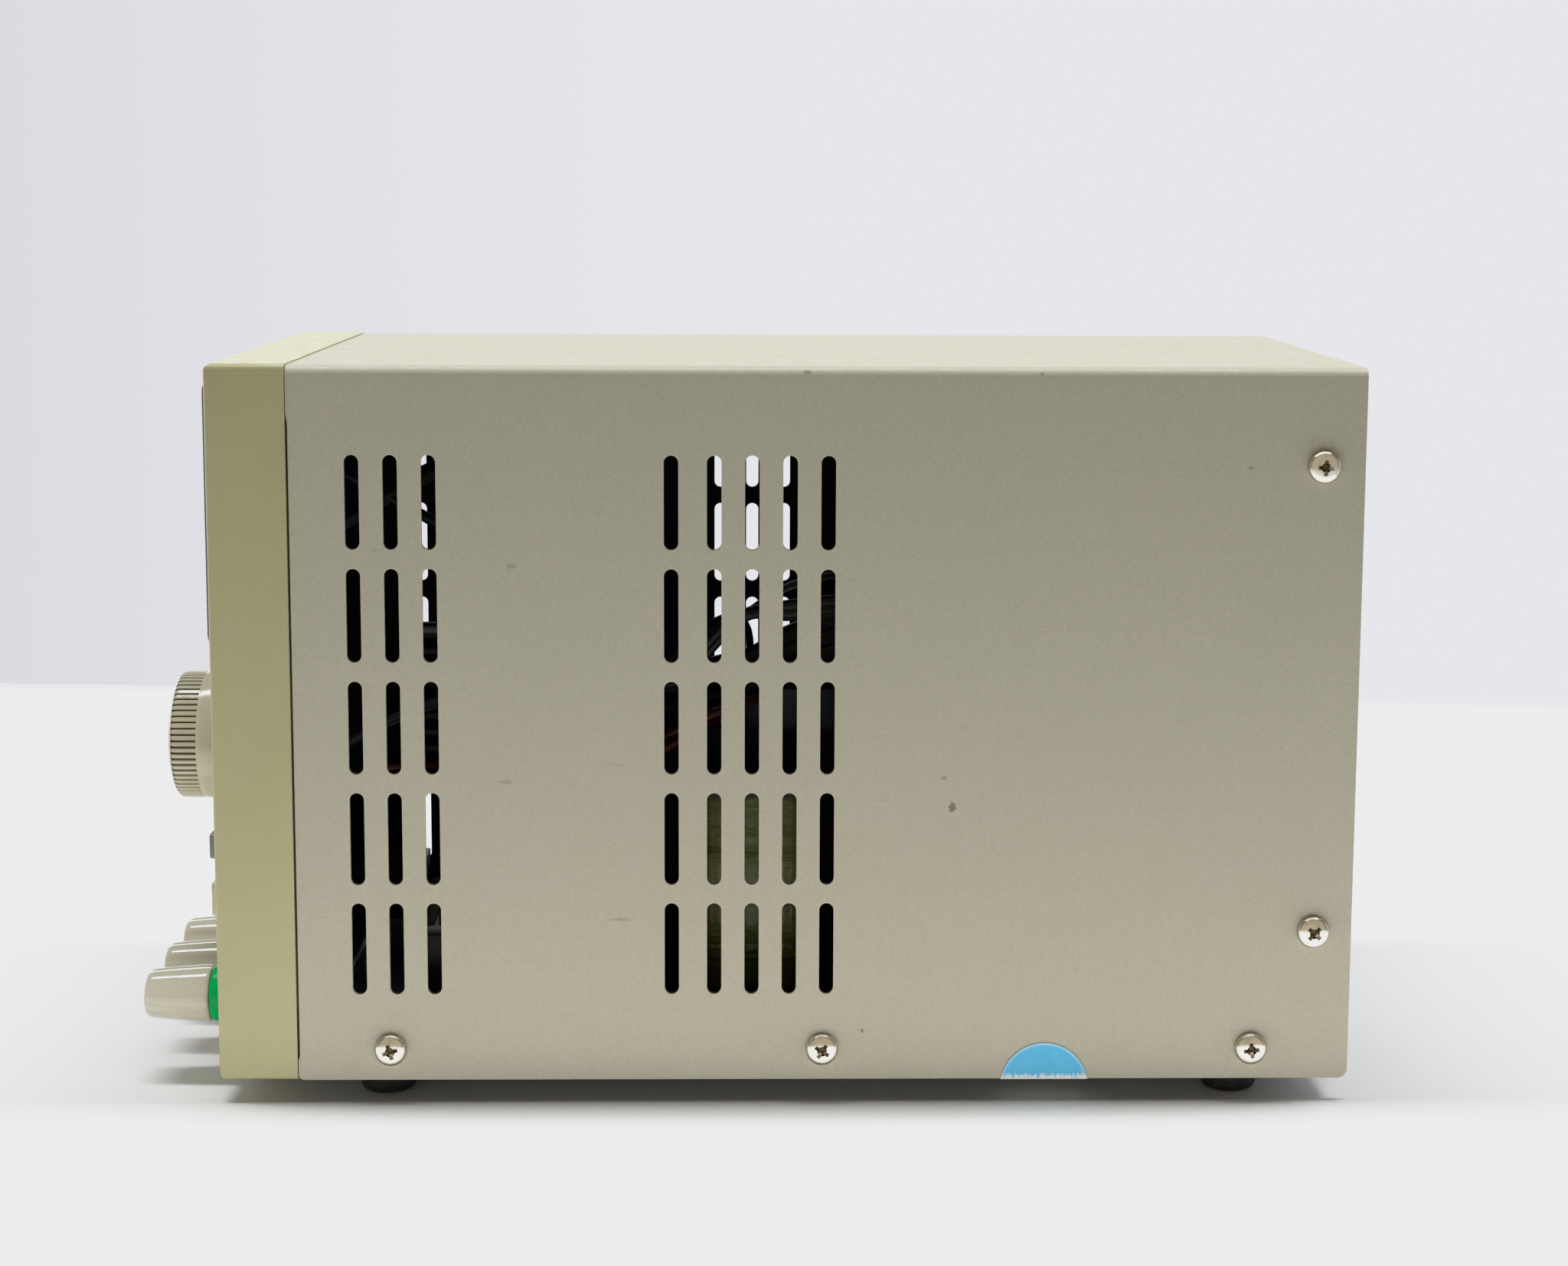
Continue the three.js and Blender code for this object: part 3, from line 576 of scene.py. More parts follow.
def smoked_window():
    """Clear smoked acrylic with a few hairline scratches."""
    look = Finish("smoked window", (0.012, 0.010, 0.010), 0.05, Alpha=0.8, Coat_Weight=0.6)
    look.set("Roughness", look.range(look.noise(14, 6), 0.45, 0.75, 0.04, 0.14))
    look.blotch((0.3, 0.3, 0.3), 5, 8, 0.72, 0.76, 0.12, (3, 3, 0.15))
    return look.material


def plated(name, color, roughness):
    """Plated metal with fine wipe marks and dull patches."""
    look = Finish(name, color, roughness, 1.0)
    look.blotch(darker(color, 0.55), 1.6, 5, 0.45, 0.75, 0.5)
    look.uneven(0.8, 4, roughness * 0.7, roughness * 1.5, (1, 6, 1))
    look.grain(0.3, 3, 0.006, 0.4)
    return look.material


def zinc_sheet():
    """Zinc-plated steel with large soft crystals and rolling marks."""
    look = Finish("zinc sheet", (0.50, 0.51, 0.51), 0.38, 1.0)
    look.tint(look.range(look.cells(5)[1], 0, 1, 0, 0.4), (0.62, 0.63, 0.64))
    look.blotch((0.35, 0.35, 0.34), 20, 5, 0.5, 0.75, 0.35)
    look.uneven(0.7, 3, 0.3, 0.5, (1, 30, 1))
    return look.material


def foot_rubber():
    look = Finish("foot rubber", (0.012, 0.012, 0.012), 0.8)
    look.blotch((0.06, 0.055, 0.05), 2.5, 5, 0.5, 0.75, 0.5)
    look.grain(0.4, 3, 0.05)
    return look.material


def circuit_board():
    """Green solder resist over traces, with bright pads."""
    look = Finish("circuit board", (0.01, 0.09, 0.04), 0.35)
    distance = look.cells(3, distance="MANHATTAN")[0]
    look.tint(look.math("LESS_THAN", distance, 0.42), (0.02, 0.16, 0.07), 0.6)
    look.tint(look.specks(4, 0.9, 0.35), (0.6, 0.58, 0.52))
    return look.material


def varnished_core():
    """Thin steel laminations on edge under dark varnish."""
    look = Finish("varnished laminations", (0.008, 0.006, 0.006), 0.7, Specular_IOR_Level=0.08)
    sheets = look.noise(0.5, 1, (1, 60, 60))
    look.tint(look.range(sheets, 0.4, 0.7, 0, 0.6), (0.022, 0.015, 0.014))
    look.bump(sheets, 0.15)
    return look.material


def coil_tape():
    """Yellow polyester tape with wrap edges and creases."""
    look = Finish("coil tape", (0.225, 0.25, 0.034), 0.35, Coat_Weight=0.2)
    look.blotch((0.12, 0.145, 0.022), 9, 5, 0.4, 0.7, 0.7)
    wrap = look.math("FRACT", look.math("MULTIPLY", look.along(2), 1 / (12 * MM)))
    look.tint(look.math("LESS_THAN", wrap, 0.06), (0.09, 0.1, 0.02), 0.6)
    look.grain(3, 5, 0.4, 1.0, (1, 1, 0.4))
    return look.material


def insulation(name, color):
    look = Finish(name, color, 0.45)
    look.blotch(darker(color, 0.4), 4, 4, 0.4, 0.7, 0.4)
    look.grain(1, 2, 0.03)
    return look.material


def can_sleeve():
    """Dark blue shrink sleeve."""
    look = Finish("capacitor sleeve", (0.012, 0.02, 0.06), 0.25, Coat_Weight=0.4)
    look.blotch((0.02, 0.035, 0.10), 8, 4, 0.4, 0.7, 0.4)
    look.grain(2, 3, 0.05)
    return look.material


def seal_paper():
    """Light blue sticker with a pale rim, rubbed white where it folds under the case."""
    look = Finish("seal sticker", (0.055, 0.47, 0.79), 0.42, Coat_Weight=0.12, Coat_Roughness=0.3)
    look.blotch((0.10, 0.53, 0.84), 2.2, 5, 0.4, 0.7, 0.35)
    centre = (0, FRONT + middle("warranty_seal").y * MM, BASE - SEAL_PAST * MM)
    reach = look.distance(centre, (0, 1, 1))
    rim = look.range(reach, (SEAL_RADIUS - 0.75) * MM, (SEAL_RADIUS - 0.35) * MM, 0, 0.6)
    look.tint(rim, (0.50, 0.72, 0.86))
    height = look.range(look.along(2), BASE + 0.3 * MM, BASE + 1.7 * MM, 1, 0)
    worn = look.math("ADD", height, look.range(look.noise(0.7, 6, (1, 0.6, 2)), 0.3, 0.7, -0.4, 0.4))
    look.tint(look.range(worn, 0.45, 0.9), (0.80, 0.82, 0.78))
    look.blotch((0.55, 0.70, 0.78), 1.1, 7, 0.68, 0.74, 0.4)
    look.grain(2.5, 3, 0.06)
    return look.material


def plain(name, color, roughness, metallic=0.0):
    """A simple finish with a little colour variation and fine grain."""
    look = Finish(name, color, roughness, metallic)
    look.blotch(darker(color, 0.7), 5, 4, 0.4, 0.7, 0.3)
    look.grain(0.6, 2, 0.015, 0.5)
    return look.material


paint = powder_coat()
# Near-black inner faces of the cover and the bezel: painted shade.
inside_shade = inside_shade_finish()
bezel_ivory = aged_plastic("bezel ivory", (0.445, 0.426, 0.226), (0.415, 0.385, 0.18), 0.36).material
knob_ivory = aged_plastic("key ivory", (0.56, 0.535, 0.385), (0.53, 0.49, 0.33), 0.25).material
cap_ivory = aged_plastic("cap ivory", (0.63, 0.605, 0.48), (0.60, 0.57, 0.44), 0.13, 0.4).material
key_grey = aged_plastic("key grey", (0.20, 0.20, 0.19), (0.19, 0.185, 0.16), 0.35).material
window_glass = smoked_window()
black = black_plastic()
red_moulding = glossy_moulding("red moulding", (0.42, 0.018, 0.012))
green_moulding = glossy_moulding("green moulding", (0.0, 0.46, 0.11), 0.0, 0.1)
black_moulding = glossy_moulding("glossy black moulding", (0.015, 0.015, 0.016))
nickel = plated("nickel plate", (0.66, 0.62, 0.53), 0.2)
# Dark inside the screws' cross recesses: painted shade.
recess_shade = plain("painted recess shade", (0.10, 0.075, 0.035), 0.4, 0.7)
brass = plated("turned brass", (0.72, 0.52, 0.20), 0.25)
zinc = zinc_sheet()
rubber = foot_rubber()
board_green = circuit_board()
lamination = varnished_core()
tape = coil_tape()
black_wire = insulation("black wire", (0.012, 0.012, 0.013))
red_wire = insulation("dark red wire", (0.08, 0.004, 0.004))
sleeve = can_sleeve()
seal = seal_paper()
sink_metal = plain("dull aluminium", (0.30, 0.31, 0.32), 0.45, 1.0)
black_anodised = plain("black anodised aluminium", (0.03, 0.03, 0.028), 0.5, 1.0)
display_body = plain("display body", (0.03, 0.028, 0.027), 0.5)
segment_white = plain("unlit segments", (0.50, 0.47, 0.45), 0.6)
ink = plain("panel ink", (0.05, 0.05, 0.055), 0.6)
rating_grey = plain("rating plate", (0.55, 0.55, 0.54), 0.4, 0.6)


# ---- Folded cover with its vent slots ----
SLOT_WIDTH = 3.0
SLOT_LENGTH = 19.6
SLOT_PITCH = 7.87
SLOT_ROW_PITCH = 23.64
SLOT_LOWEST_ROW = 28.5
SLOT_ROWS = 5
SLOT_GROUPS = ((29.9, 3), (95.5, 1), (104.4, 4))  # first column behind the front, number of columns
SCREW_PLACES = ((36.2, 6.7), (127.2, 6.7), (218.2, 6.7), (230.8, 32.1), (230.3, 130.8))
SCREW_HOLE = 1.75  # radius
SEAM_WIDTH = 0.45
SEAM_LOW = 4.2
SEAM_HIGH = 140.4
BEND = 2.0  # outer radius of the cover's folds


def through_sides(outlines):
    """A cutter that goes through the whole case from side to side."""
    return plate(outlines, -ACROSS, ACROSS, ALONG_X)


def slot_outline(y, z):
    reach = (SLOT_LENGTH - SLOT_WIDTH) / 2
    upper = arc(y, z + reach, SLOT_WIDTH / 2, 0, 2 * QUARTER, 14)
    lower = arc(y, z - reach, SLOT_WIDTH / 2, 2 * QUARTER, 4 * QUARTER, 14)
    return upper + lower


def vent_cutters():
    cutters = []
    for first, count in SLOT_GROUPS:
        for column in range(count):
            for row in range(SLOT_ROWS):
                place = (first + column * SLOT_PITCH, SLOT_LOWEST_ROW + row * SLOT_ROW_PITCH)
                cutters.append(through_sides([slot_outline(*place)]))
    return cutters


def screw_hole_cutters():
    return [through_sides([circle(SCREW_HOLE, y, z, 32)]) for y, z in SCREW_PLACES]


def cover_section():
    """The bent sheet seen from the front, with ends that run on below the bottom edge."""
    outer_x, outer_z = cover_high.x, cover_high.z
    inner_x, inner_z = outer_x - SHEET, outer_z - SHEET
    inner_bend = BEND - SHEET
    below = -3.0
    outer = [(-outer_x, below)]
    outer += arc(BEND - outer_x, outer_z - BEND, BEND, 2 * QUARTER, QUARTER, 8)
    outer += arc(outer_x - BEND, outer_z - BEND, BEND, QUARTER, 0, 8)
    outer += [(outer_x, below)]
    inner = [(inner_x, below)]
    inner += arc(inner_x - inner_bend, inner_z - inner_bend, inner_bend, 0, QUARTER, 6)
    inner += arc(inner_bend - inner_x, inner_z - inner_bend, inner_bend, QUARTER, 2 * QUARTER, 6)
    inner += [(-inner_x, below)]
    return outer + inner


def side_outline():
    """The cover's side: rounded lower corners and a notch that leaves the seam to the bezel."""
    front, rear = cover_low.y, cover_high.y
    above = cover_high.z + 5
    seam = bezel_high.y + SEAM_WIDTH
    slope = 0.9
    points = arc(front + 1.2, 1.2, 1.2, 2 * QUARTER, 3 * QUARTER, 6)
    points += arc(rear - 2, 2, 2, -QUARTER, 0, 8)
    points += [(rear, above), (front, above), (front, SEAM_HIGH + slope), (seam, SEAM_HIGH - slope)]
    points += [(seam, SEAM_LOW + slope), (front, SEAM_LOW)]
    return points


def darken_inside(mesh):
    """Gives the faces that look into the case the second material, the painted shade inside."""
    for face in mesh.polygons:
        sideways = face.normal.x * face.center.x < -1
        downwards = face.normal.z < -0.7 and face.center.z > 100
        on_sheet = abs(face.center.x) < cover_high.x - 0.8 * SHEET
        if (sideways or downwards) and on_sheet:
            face.material_index = 1


def add_cover():
    folded = plate([cover_section()], cover_low.y - 4, cover_high.y + 4)
    margin = 12
    around = rect(cover_low.y - margin, cover_high.y + margin, -margin, cover_high.z + margin)
    trimmed = carved(folded, [through_sides([around, side_outline()])])
    mesh = carved(trimmed, vent_cutters() + screw_hole_cutters())
    mesh.materials.append(paint)
    # The second material paints shade on the faces inside the cover.
    mesh.materials.append(inside_shade)
    darken_inside(mesh)
    soften(piece("cover_shell", mesh, node="top_cover"), 0.28)


def add_seam_shade_strip():
    """A black lip inside the bezel that fills the seam with painted shade."""
    lip_x, lip_z = cover_high.x - SHEET - 0.1, cover_high.z - SHEET - 0.1
    outer = [(-lip_x, tray_high.z + 1), (-lip_x, lip_z), (lip_x, lip_z), (lip_x, tray_high.z + 1)]
    inner = [(x * 0.985, z - (1 if z > 100 else 0)) for x, z in reversed(outer)]
    mesh = plate([outer + inner], bezel_high.y - 2, bezel_high.y + 3)
    piece("seam_shade_strip", mesh, black)


# ---- Chassis tray and rear panel ----
FAN_CENTRE = middle("fan_frame")
INLET_CENTRE = middle("mains_inlet")
INLET_SIZE = (27.2, 20.2)


def add_tray():
    outer = block(tray_low, tray_high)
    low = (tray_low.x + SHEET, tray_low.y - 2, tray_low.z + SHEET)
    high = (tray_high.x - SHEET, tray_high.y - SHEET, tray_high.z + 5)
    mesh = carved(outer, [block(low, high)] + screw_hole_cutters())
    soften(piece("tray_sheet", mesh, zinc, "chassis_tray"), 0.3, angle=60)


def through_panel(outline):
    return plate([outline], panel_high.y - 5, panel_high.y + 5)


def grille_cutters():
    """Three rings of slots in front of the fan, each in four quarters with a gap between them in radians."""
    cutters = []
    gap = 0.2
    for radius in (9, 16, 23):
        for quarter in range(4):
            start = quarter * QUARTER + gap / 2
            stop = (quarter + 1) * QUARTER - gap / 2
            centre = (FAN_CENTRE.x, FAN_CENTRE.z)
            outline = arc(*centre, radius + 4.5, start, stop, 16) + arc(*centre, radius, stop, start, 16)
            cutters.append(through_panel(outline))
    return cutters


def add_rear_panel():
    outer = block(panel_low, panel_high)
    low = (panel_low.x + SHEET, panel_low.y - 2, panel_low.z - 5)
    high = (panel_high.x - SHEET, panel_high.y - SHEET, panel_high.z + 5)
    inlet = rounded_rect(*INLET_SIZE, 2, INLET_CENTRE.x, INLET_CENTRE.z)
    cutters = [block(low, high), through_panel(inlet)]
    mesh = carved(outer, cutters + grille_cutters() + screw_hole_cutters())
    soften(piece("rear_sheet", mesh, zinc, "rear_panel"), 0.25, angle=60)


def add_rating_plate():
    """A blank rating plate on the rear panel."""
    x, z = INLET_CENTRE.x, INLET_CENTRE.z + 34
    back = panel_high.y
    outline = rounded_rect(34, 22, 1.2, x, z)
    blank = painted(plate([outline], back + 0.02, back + 0.22, bevel=0.06), rating_grey)
    rims = [rounded_rect(31, 19, 0.8, x, z), rounded_rect(30.2, 18.2, 0.5, x, z)]
    border = painted(plate(rims, back + 0.2, back + 0.26), ink)
    piece("rating_plate", merged(blank, border))


# ---- Front panel ----
KNOB_X = middle("main_knob").x
KNOB_Z = middle("main_knob").z
POWER = middle("power_button")
POST_Z = middle("positive_cap").z
MEMORY_KEYS = ["memory_key_1", "memory_key_2", "memory_key_3", "memory_key_4"]
TALL_KEYS = ["select_key", "output_key"]
KEYS = ["step_left_key", "step_right_key", *MEMORY_KEYS, "protect_key", *TALL_KEYS]
POSTS = {"negative": black_moulding, "positive": red_moulding, "ground": green_moulding}
POWER_OPENING = 12.6
KEY_PLAY = 0.6  # how much wider and taller than its key an opening is
SHAFT_HOLE = 4.0  # radius, and so is the next
STUD_HOLE = 3.4
WINDOW_SEAT = 1.2  # depth of the step that the window lies in
MARK_HEIGHT = 0.04
DIAL = (17, 19.2)  # inner and outer radius of the ticks round the knob


def through_wall(outline):
    return plate([outline], -2, WALL + 1)


def front_edge_trim(height):
    """What lies outside the bezel's rounded front edges at its top and bottom, seen from the side."""
    margin, radius, back = 12, 2.0, bezel_high.y + 8
    around = rect(-margin, back + 2, -margin, height + margin)
    kept = arc(radius, radius - 0.01, radius, 3 * QUARTER, 2 * QUARTER, 10)
    kept += arc(radius, height + 0.01 - radius, radius, 2 * QUARTER, QUARTER, 10)
    kept += [(back, height + 0.01), (back, -0.01)]
    return [around, kept]


def shade_bezel_inside(mesh, width, height):
    """Gives the faces inside the bezel the painted shade of the inside."""
    for face in mesh.polygons:
        centre = face.center
        within = abs(centre.x) < width / 2 - 0.8 * WALL and WALL / 2 < centre.z < height - WALL / 2
        if within and WALL - 0.01 < centre.y < bezel_high.y - 0.01:
            face.material_index = 1


def add_bezel():
    width, height = 2 * bezel_high.x, bezel_high.z
    outline = rounded_rect(width, height, 1.2, 0, height / 2)
    moulding = plate([outline], 0, bezel_high.y + 5, ALONG_Y, 0.9, 5)
    blank = carved(moulding, [through_sides(front_edge_trim(height))])
    window_low, window_high = span("display_window")
    view = (window_high.x - window_low.x - 8, window_high.z - window_low.z - 7)
    hollow = rounded_rect(width - 2 * WALL, height - 2 * WALL, 1.5, 0, height / 2)
    cutters = [
        block((-ACROSS, bezel_high.y, -10), (ACROSS, bezel_high.y + 10, height + 10)),
        plate([hollow], WALL, bezel_high.y + 3),
        plate([face_outline("display_window", 2.2, 0.2)], -2, WINDOW_SEAT),
        through_wall(rounded_rect(*view, 1, 0, middle("display_window").z)),
        through_wall(rounded_rect(POWER_OPENING, POWER_OPENING, 1.6, POWER.x, POWER.z)),
        through_wall(circle(SHAFT_HOLE, KNOB_X, KNOB_Z)),
    ]
    for name in KEYS:
        cutters.append(through_wall(face_outline(name, 1, KEY_PLAY)))
    for name in POSTS:
        cutters.append(through_wall(circle(STUD_HOLE, middle(f"{name}_cap").x, POST_Z)))
    mesh = carved(blank, cutters)
    mesh.materials.append(bezel_ivory)
    # The second material paints shade on the faces inside the bezel.
    mesh.materials.append(inside_shade)
    shade_bezel_inside(mesh, width, height)
    soften(piece("bezel_moulding", mesh, node="front_bezel"), 0.14)


def add_window():
    low, high = span("display_window")
    outline = rounded_rect(high.x - low.x, high.z - low.z, 2.1, 0, (low.z + high.z) / 2)
    lens = plate([outline], low.y, high.y, ALONG_Y, 0.45, 3)
    piece("window_lens", lens, window_glass, "display_window")


# Segment ends of a digit one unit wide and two units high: two end points for each of the seven bars.
BARS = (
    ((0, 2), (1, 2)),
    ((1, 2), (1, 1)),
    ((1, 1), (1, 0)),
    ((0, 0), (1, 0)),
    ((0, 1), (0, 0)),
    ((0, 2), (0, 1)),
    ((0, 1), (1, 1)),
)
LIT_BARS = {1: (1, 2), 2: (0, 1, 6, 4, 3), 3: (0, 1, 6, 2, 3), 4: (5, 6, 1, 2), 8: range(7)}


def digit_outlines(digit, x, z, size, thick):
    """The bars of a digit as pointed strokes. Its middle is at (x, z)."""
    outlines = []
    for bar in LIT_BARS[digit]:
        ends = [Vector(((u - 0.5) * size + x, (v - 1) * size + z)) for u, v in BARS[bar]]
        along = (ends[1] - ends[0]).normalized()
        across = Vector((-along.y, along.x)) * thick / 2
        first = ends[0] + along * thick * 0.12
        last = ends[1] - along * thick * 0.12
        inner_first = first + along * thick / 2
        inner_last = last - along * thick / 2
        corners = [first, inner_first - across, inner_last - across]
        corners += [last, inner_last + across, inner_first + across]
        outlines.append([tuple(corner) for corner in corners])
    return outlines


def marks(outline_sets, face, material, height=MARK_HEIGHT):
    """Flat marks that stand out from a face that looks to the front, one for each set of outlines."""
    flat = [plate(outlines, face - height, face + 0.02) for outlines in outline_sets]
    return painted(merged(*flat), material)


def add_displays():
    """Two four-digit modules behind the smoked window."""
    for name in ("current_display", "voltage_display"):
        low, high = span(name)
        z = (low.z + high.z) / 2
        outline = rounded_rect(high.x - low.x, high.z - low.z, 0.5, (low.x + high.x) / 2, z)
        case = plate([outline], low.y + 0.1, high.y, bevel=0.3)
        outlines = []
        for digit in range(4):
            x = low.x + 8.2 + digit * 15.8
            outlines += digit_outlines(8, x, z, 7.6, 1.5)
            outlines.append(circle(0.85, x + 6.3, z - 7.4, 16))
        segments = marks([[outline] for outline in outlines], low.y + 0.1, segment_white, 0.05)
        piece(f"{name}_module", merged(painted(case, display_body), segments), node=name)


def add_front_board_parts():
    """Indicator lamps beside the digits and the snap domes behind the keys."""
    front = span("front_board")[0].y
    lamps = []
    for index in range(7):
        lamp = plate([rounded_rect(4, 2, 0.3, 33, 101 + index * 6.2)], 5, front, bevel=0.2)
        lamps.append(painted(lamp, display_body if index % 2 else segment_white))
    piece("indicator_lamps", merged(*lamps))
    domes = []
    for name in KEYS:
        centre = middle(name)
        dome = lathe([(0, 0.35), (1.6, 0.28), (2.6, 0.08), (2.6, 0), (0, 0)], 32)
        domes.append(painted(facing_front(dome, centre.x, centre.z, front), nickel))
    piece("snap_domes", merged(*domes))


# ---- Keys and the power button ----
def arrow_outline(x, z, size, direction):
    return [(x - direction * size, z - size), (x + direction * size, z), (x - direction * size, z + size)]


def ring_outlines(x, z, radius, thick):
    return [circle(radius, x, z, 32), circle(radius - thick, x, z, 32)]


def power_symbol(x, z, radius, thick, low, high):
    """A ring with a short upright bar."""
    return [ring_outlines(x, z, radius, thick), [rect(x - thick / 2, x + thick / 2, z + low, z + high)]]


def legend(name, x, z):
    """The outlines of the generic mark on a key's face. Each mark is a list of outlines for one plate."""
    if name in MEMORY_KEYS:
        number = MEMORY_KEYS.index(name) + 1
        return [[outline] for outline in digit_outlines(number, x, z, 1.3, 0.42)]
    if name.startswith("step"):
        direction = -1 if "left" in name else 1
        return [[arrow_outline(x, z, 1.2, direction)]]
    if name == "select_key":
        return [[arrow_outline(x - 2, z, 0.9, -1)], [arrow_outline(x + 2, z, 0.9, 1)]]
    if name == "output_key":
        return power_symbol(x, z, 1.9, 0.5, 0.6, 2.4)
    return [ring_outlines(x, z, 1.3, 0.4)]


def add_keys():
    for name in KEYS:
        low, high = span(name)
        finish = knob_ivory if name in TALL_KEYS else key_grey
        cap = painted(plate([face_outline(name, 0.8)], low.y, high.y, ALONG_Y, 0.4, 3), finish)
        printed = marks(legend(name, (low.x + high.x) / 2, (low.z + high.z) / 2), low.y, ink)
        piece(f"{name}_cap", merged(cap, printed), node=name)


def add_power_button():
    low, high = span("power_button")
    x, z = POWER.x, POWER.z
    cap = plate([face_outline("power_button", 1.5)], low.y, 8, ALONG_Y, 0.8, 4)
    plunger = plate([rounded_rect(6, 6, 0.5, x, z)], 7.5, high.y)
    moulding = painted(merged(cap, plunger), knob_ivory)
    symbol = marks(power_symbol(x, z, 2.5, 0.6, 0.8, 3.2), low.y, ink)
    piece("power_cap", merged(moulding, symbol), node="power_button")


def dial_ticks():
    """Short marks round the knob, over all but its lowest part."""
    ticks = []
    for tick in range(11):
        angle = math.radians(240 - 30 * tick)
        outward = Vector((math.cos(angle), math.sin(angle)))
        side = Vector((-outward.y, outward.x)) * 0.2
        inner, outer = outward * DIAL[0], outward * DIAL[1]
        corners = [inner - side, outer - side, outer + side, inner + side]
        ticks.append([(KNOB_X + corner.x, KNOB_Z + corner.y) for corner in corners])
    return ticks


def polarity_sign(name, x, z):
    """The outlines of the sign over a binding post."""
    if name == "ground":
        bars = []
        for index, half in enumerate((2.2, 1.4, 0.6)):
            low = z + 0.4 - index * 1.2
            bars.append(rect(x - half, x + half, low, low + 0.45))
        return bars + [rect(x - 0.22, x + 0.22, z + 0.6, z + 2.2)]
    bars = [rect(x - 1.7, x + 1.7, z - 0.25, z + 0.25)]
    if name == "positive":
        bars += [rect(x - 0.25, x + 0.25, z + low, z + low + 1.45) for low in (-1.7, 0.25)]
    return bars


def add_printing():
    """Generic marks on the bezel: a dial of ticks round the knob and a polarity sign over each post."""
    outlines = dial_ticks()
    for name in POSTS:
        outlines += polarity_sign(name, middle(f"{name}_cap").x, POST_Z + 10.2)
    piece("bezel_printing", marks([[outline] for outline in outlines], 0, ink))


# ---- Knob ----
GRIP = 13.9  # radius of the ridges
GROOVES = 64
GROOVE_DEPTH = 0.55
SKIRT = 7.5  # how far the plain skirt stands out from the panel


def add_knob():
    """A skirted knob with narrow grip grooves and a finger dimple."""
    reach = -span("main_knob")[0].y

    def wave(angle, height):
        if not SKIRT + 0.05 < height < reach - 1.1:
            return 0.0
        from_groove = abs((GROOVES * angle / (4 * QUARTER) + 0.5) % 1 - 0.5)
        return -GROOVE_DEPTH * max(0.0, 1 - from_groove / 0.22)

    profile = [
        (3.1, 1.4), (13.6, 1.4), (13.85, 1.5), (14, 1.8), (14, 6.7), (13.97, 7.1), (GRIP, 7.3),
        (GRIP, SKIRT), (GRIP, 7.6), (GRIP, 9), (GRIP, 11), (GRIP, reach - 2.1), (GRIP - 0.1, reach - 1.5),
        (13.55, reach - 1.15), (13.4, reach - 1.05), (12.95, reach - 0.7), (12.2, reach - 0.35),
        (11.2, reach - 0.1), (10, reach), (0, reach),
    ]
    blind = [(0, reach - 2.2), (3.1, reach - 2.2)]
    body = lathe(blind + profile, GROOVES * 8, wave)
    dimple = lathe([(0, -1.1), (1.4, -0.95), (2.6, -0.5), (3.3, 0), (3.6, 2), (0, 2)], 48)
    mesh = facing_front(carved(body, [moved(dimple, shift(0, 7.2, reach))]), KNOB_X, KNOB_Z)
    finish_mesh(mesh, 30)
    piece("knob_moulding", mesh, knob_with_groove_shade(reach), "main_knob")


# ---- Binding posts ----
LOBES = 6


def cap_mesh(reach, back):
    """A screw cap with broad finger lobes that fade out towards its tip."""

    def wave(angle, height):
        fade = min(1.0, max(0.0, (reach - height) / 1.2))
        return -0.38 * fade * (0.5 - 0.5 * math.cos(LOBES * angle)) ** 3

    bore = 3.1
    profile = [
        (5.5, back), (5.85, back + 0.12), (6.05, back + 0.4), (6.12, back + 0.9), (6.1, back + 2.2),
        (5.9, back + 5), (5.65, back + 8.5), (5.4, reach - 3), (5.27, reach - 1.6),
        (5.13, reach - 0.95), (4.87, reach - 0.45), (4.5, reach - 0.12), (4.1, reach),
    ]
    outside = lathe([(0, back)] + profile + [(0, reach)], LOBES * 16, wave)
    hole = [(0, back - 1), (bore, back - 1), (bore, reach - 0.4), (bore + 0.8, reach + 0.4), (0, reach + 0.4)]
    return finish_mesh(carved(outside, [lathe(hole, 48)]), 40)


# Profiles of the turned parts as (radius, distance in front of the panel).
WASHER = [(3.1, 3.92), (3.9, 3.92), (4, 4), (4, 4.2), (3.9, 4.28), (3.1, 4.28)]
COLLAR = [
    (3.1, 0.1), (5.7, 0.1), (5.95, 0.3), (6, 0.6), (6, 3.5), (5.95, 3.9), (5.75, 4.2), (5.5, 4.3),
    (4.4, 4.3), (4.3, 3.8), (3.1, 3.8),
]
STUD = [(0, -15), (3, -15), (3, 16.7), (2.7, 17), (2.2, 17), (2, 16.8), (2, 3.5), (0, 3.5)]


def add_posts():
    for name, collar_material in POSTS.items():
        low, high = span(f"{name}_cap")
        parts = {
            "cap": (cap_mesh(-low.y, -high.y), cap_ivory),
            "washer": (lathe(WASHER, 48), nickel),
            "collar": (lathe(COLLAR, 64), collar_material),
            "stud": (lathe(STUD, 48), brass),
        }
        for part, (mesh, material) in parts.items():
            placed = facing_front(mesh, (low.x + high.x) / 2, POST_Z)
            piece(f"{name}_post_{part}", placed, material, f"{name}_{part}")


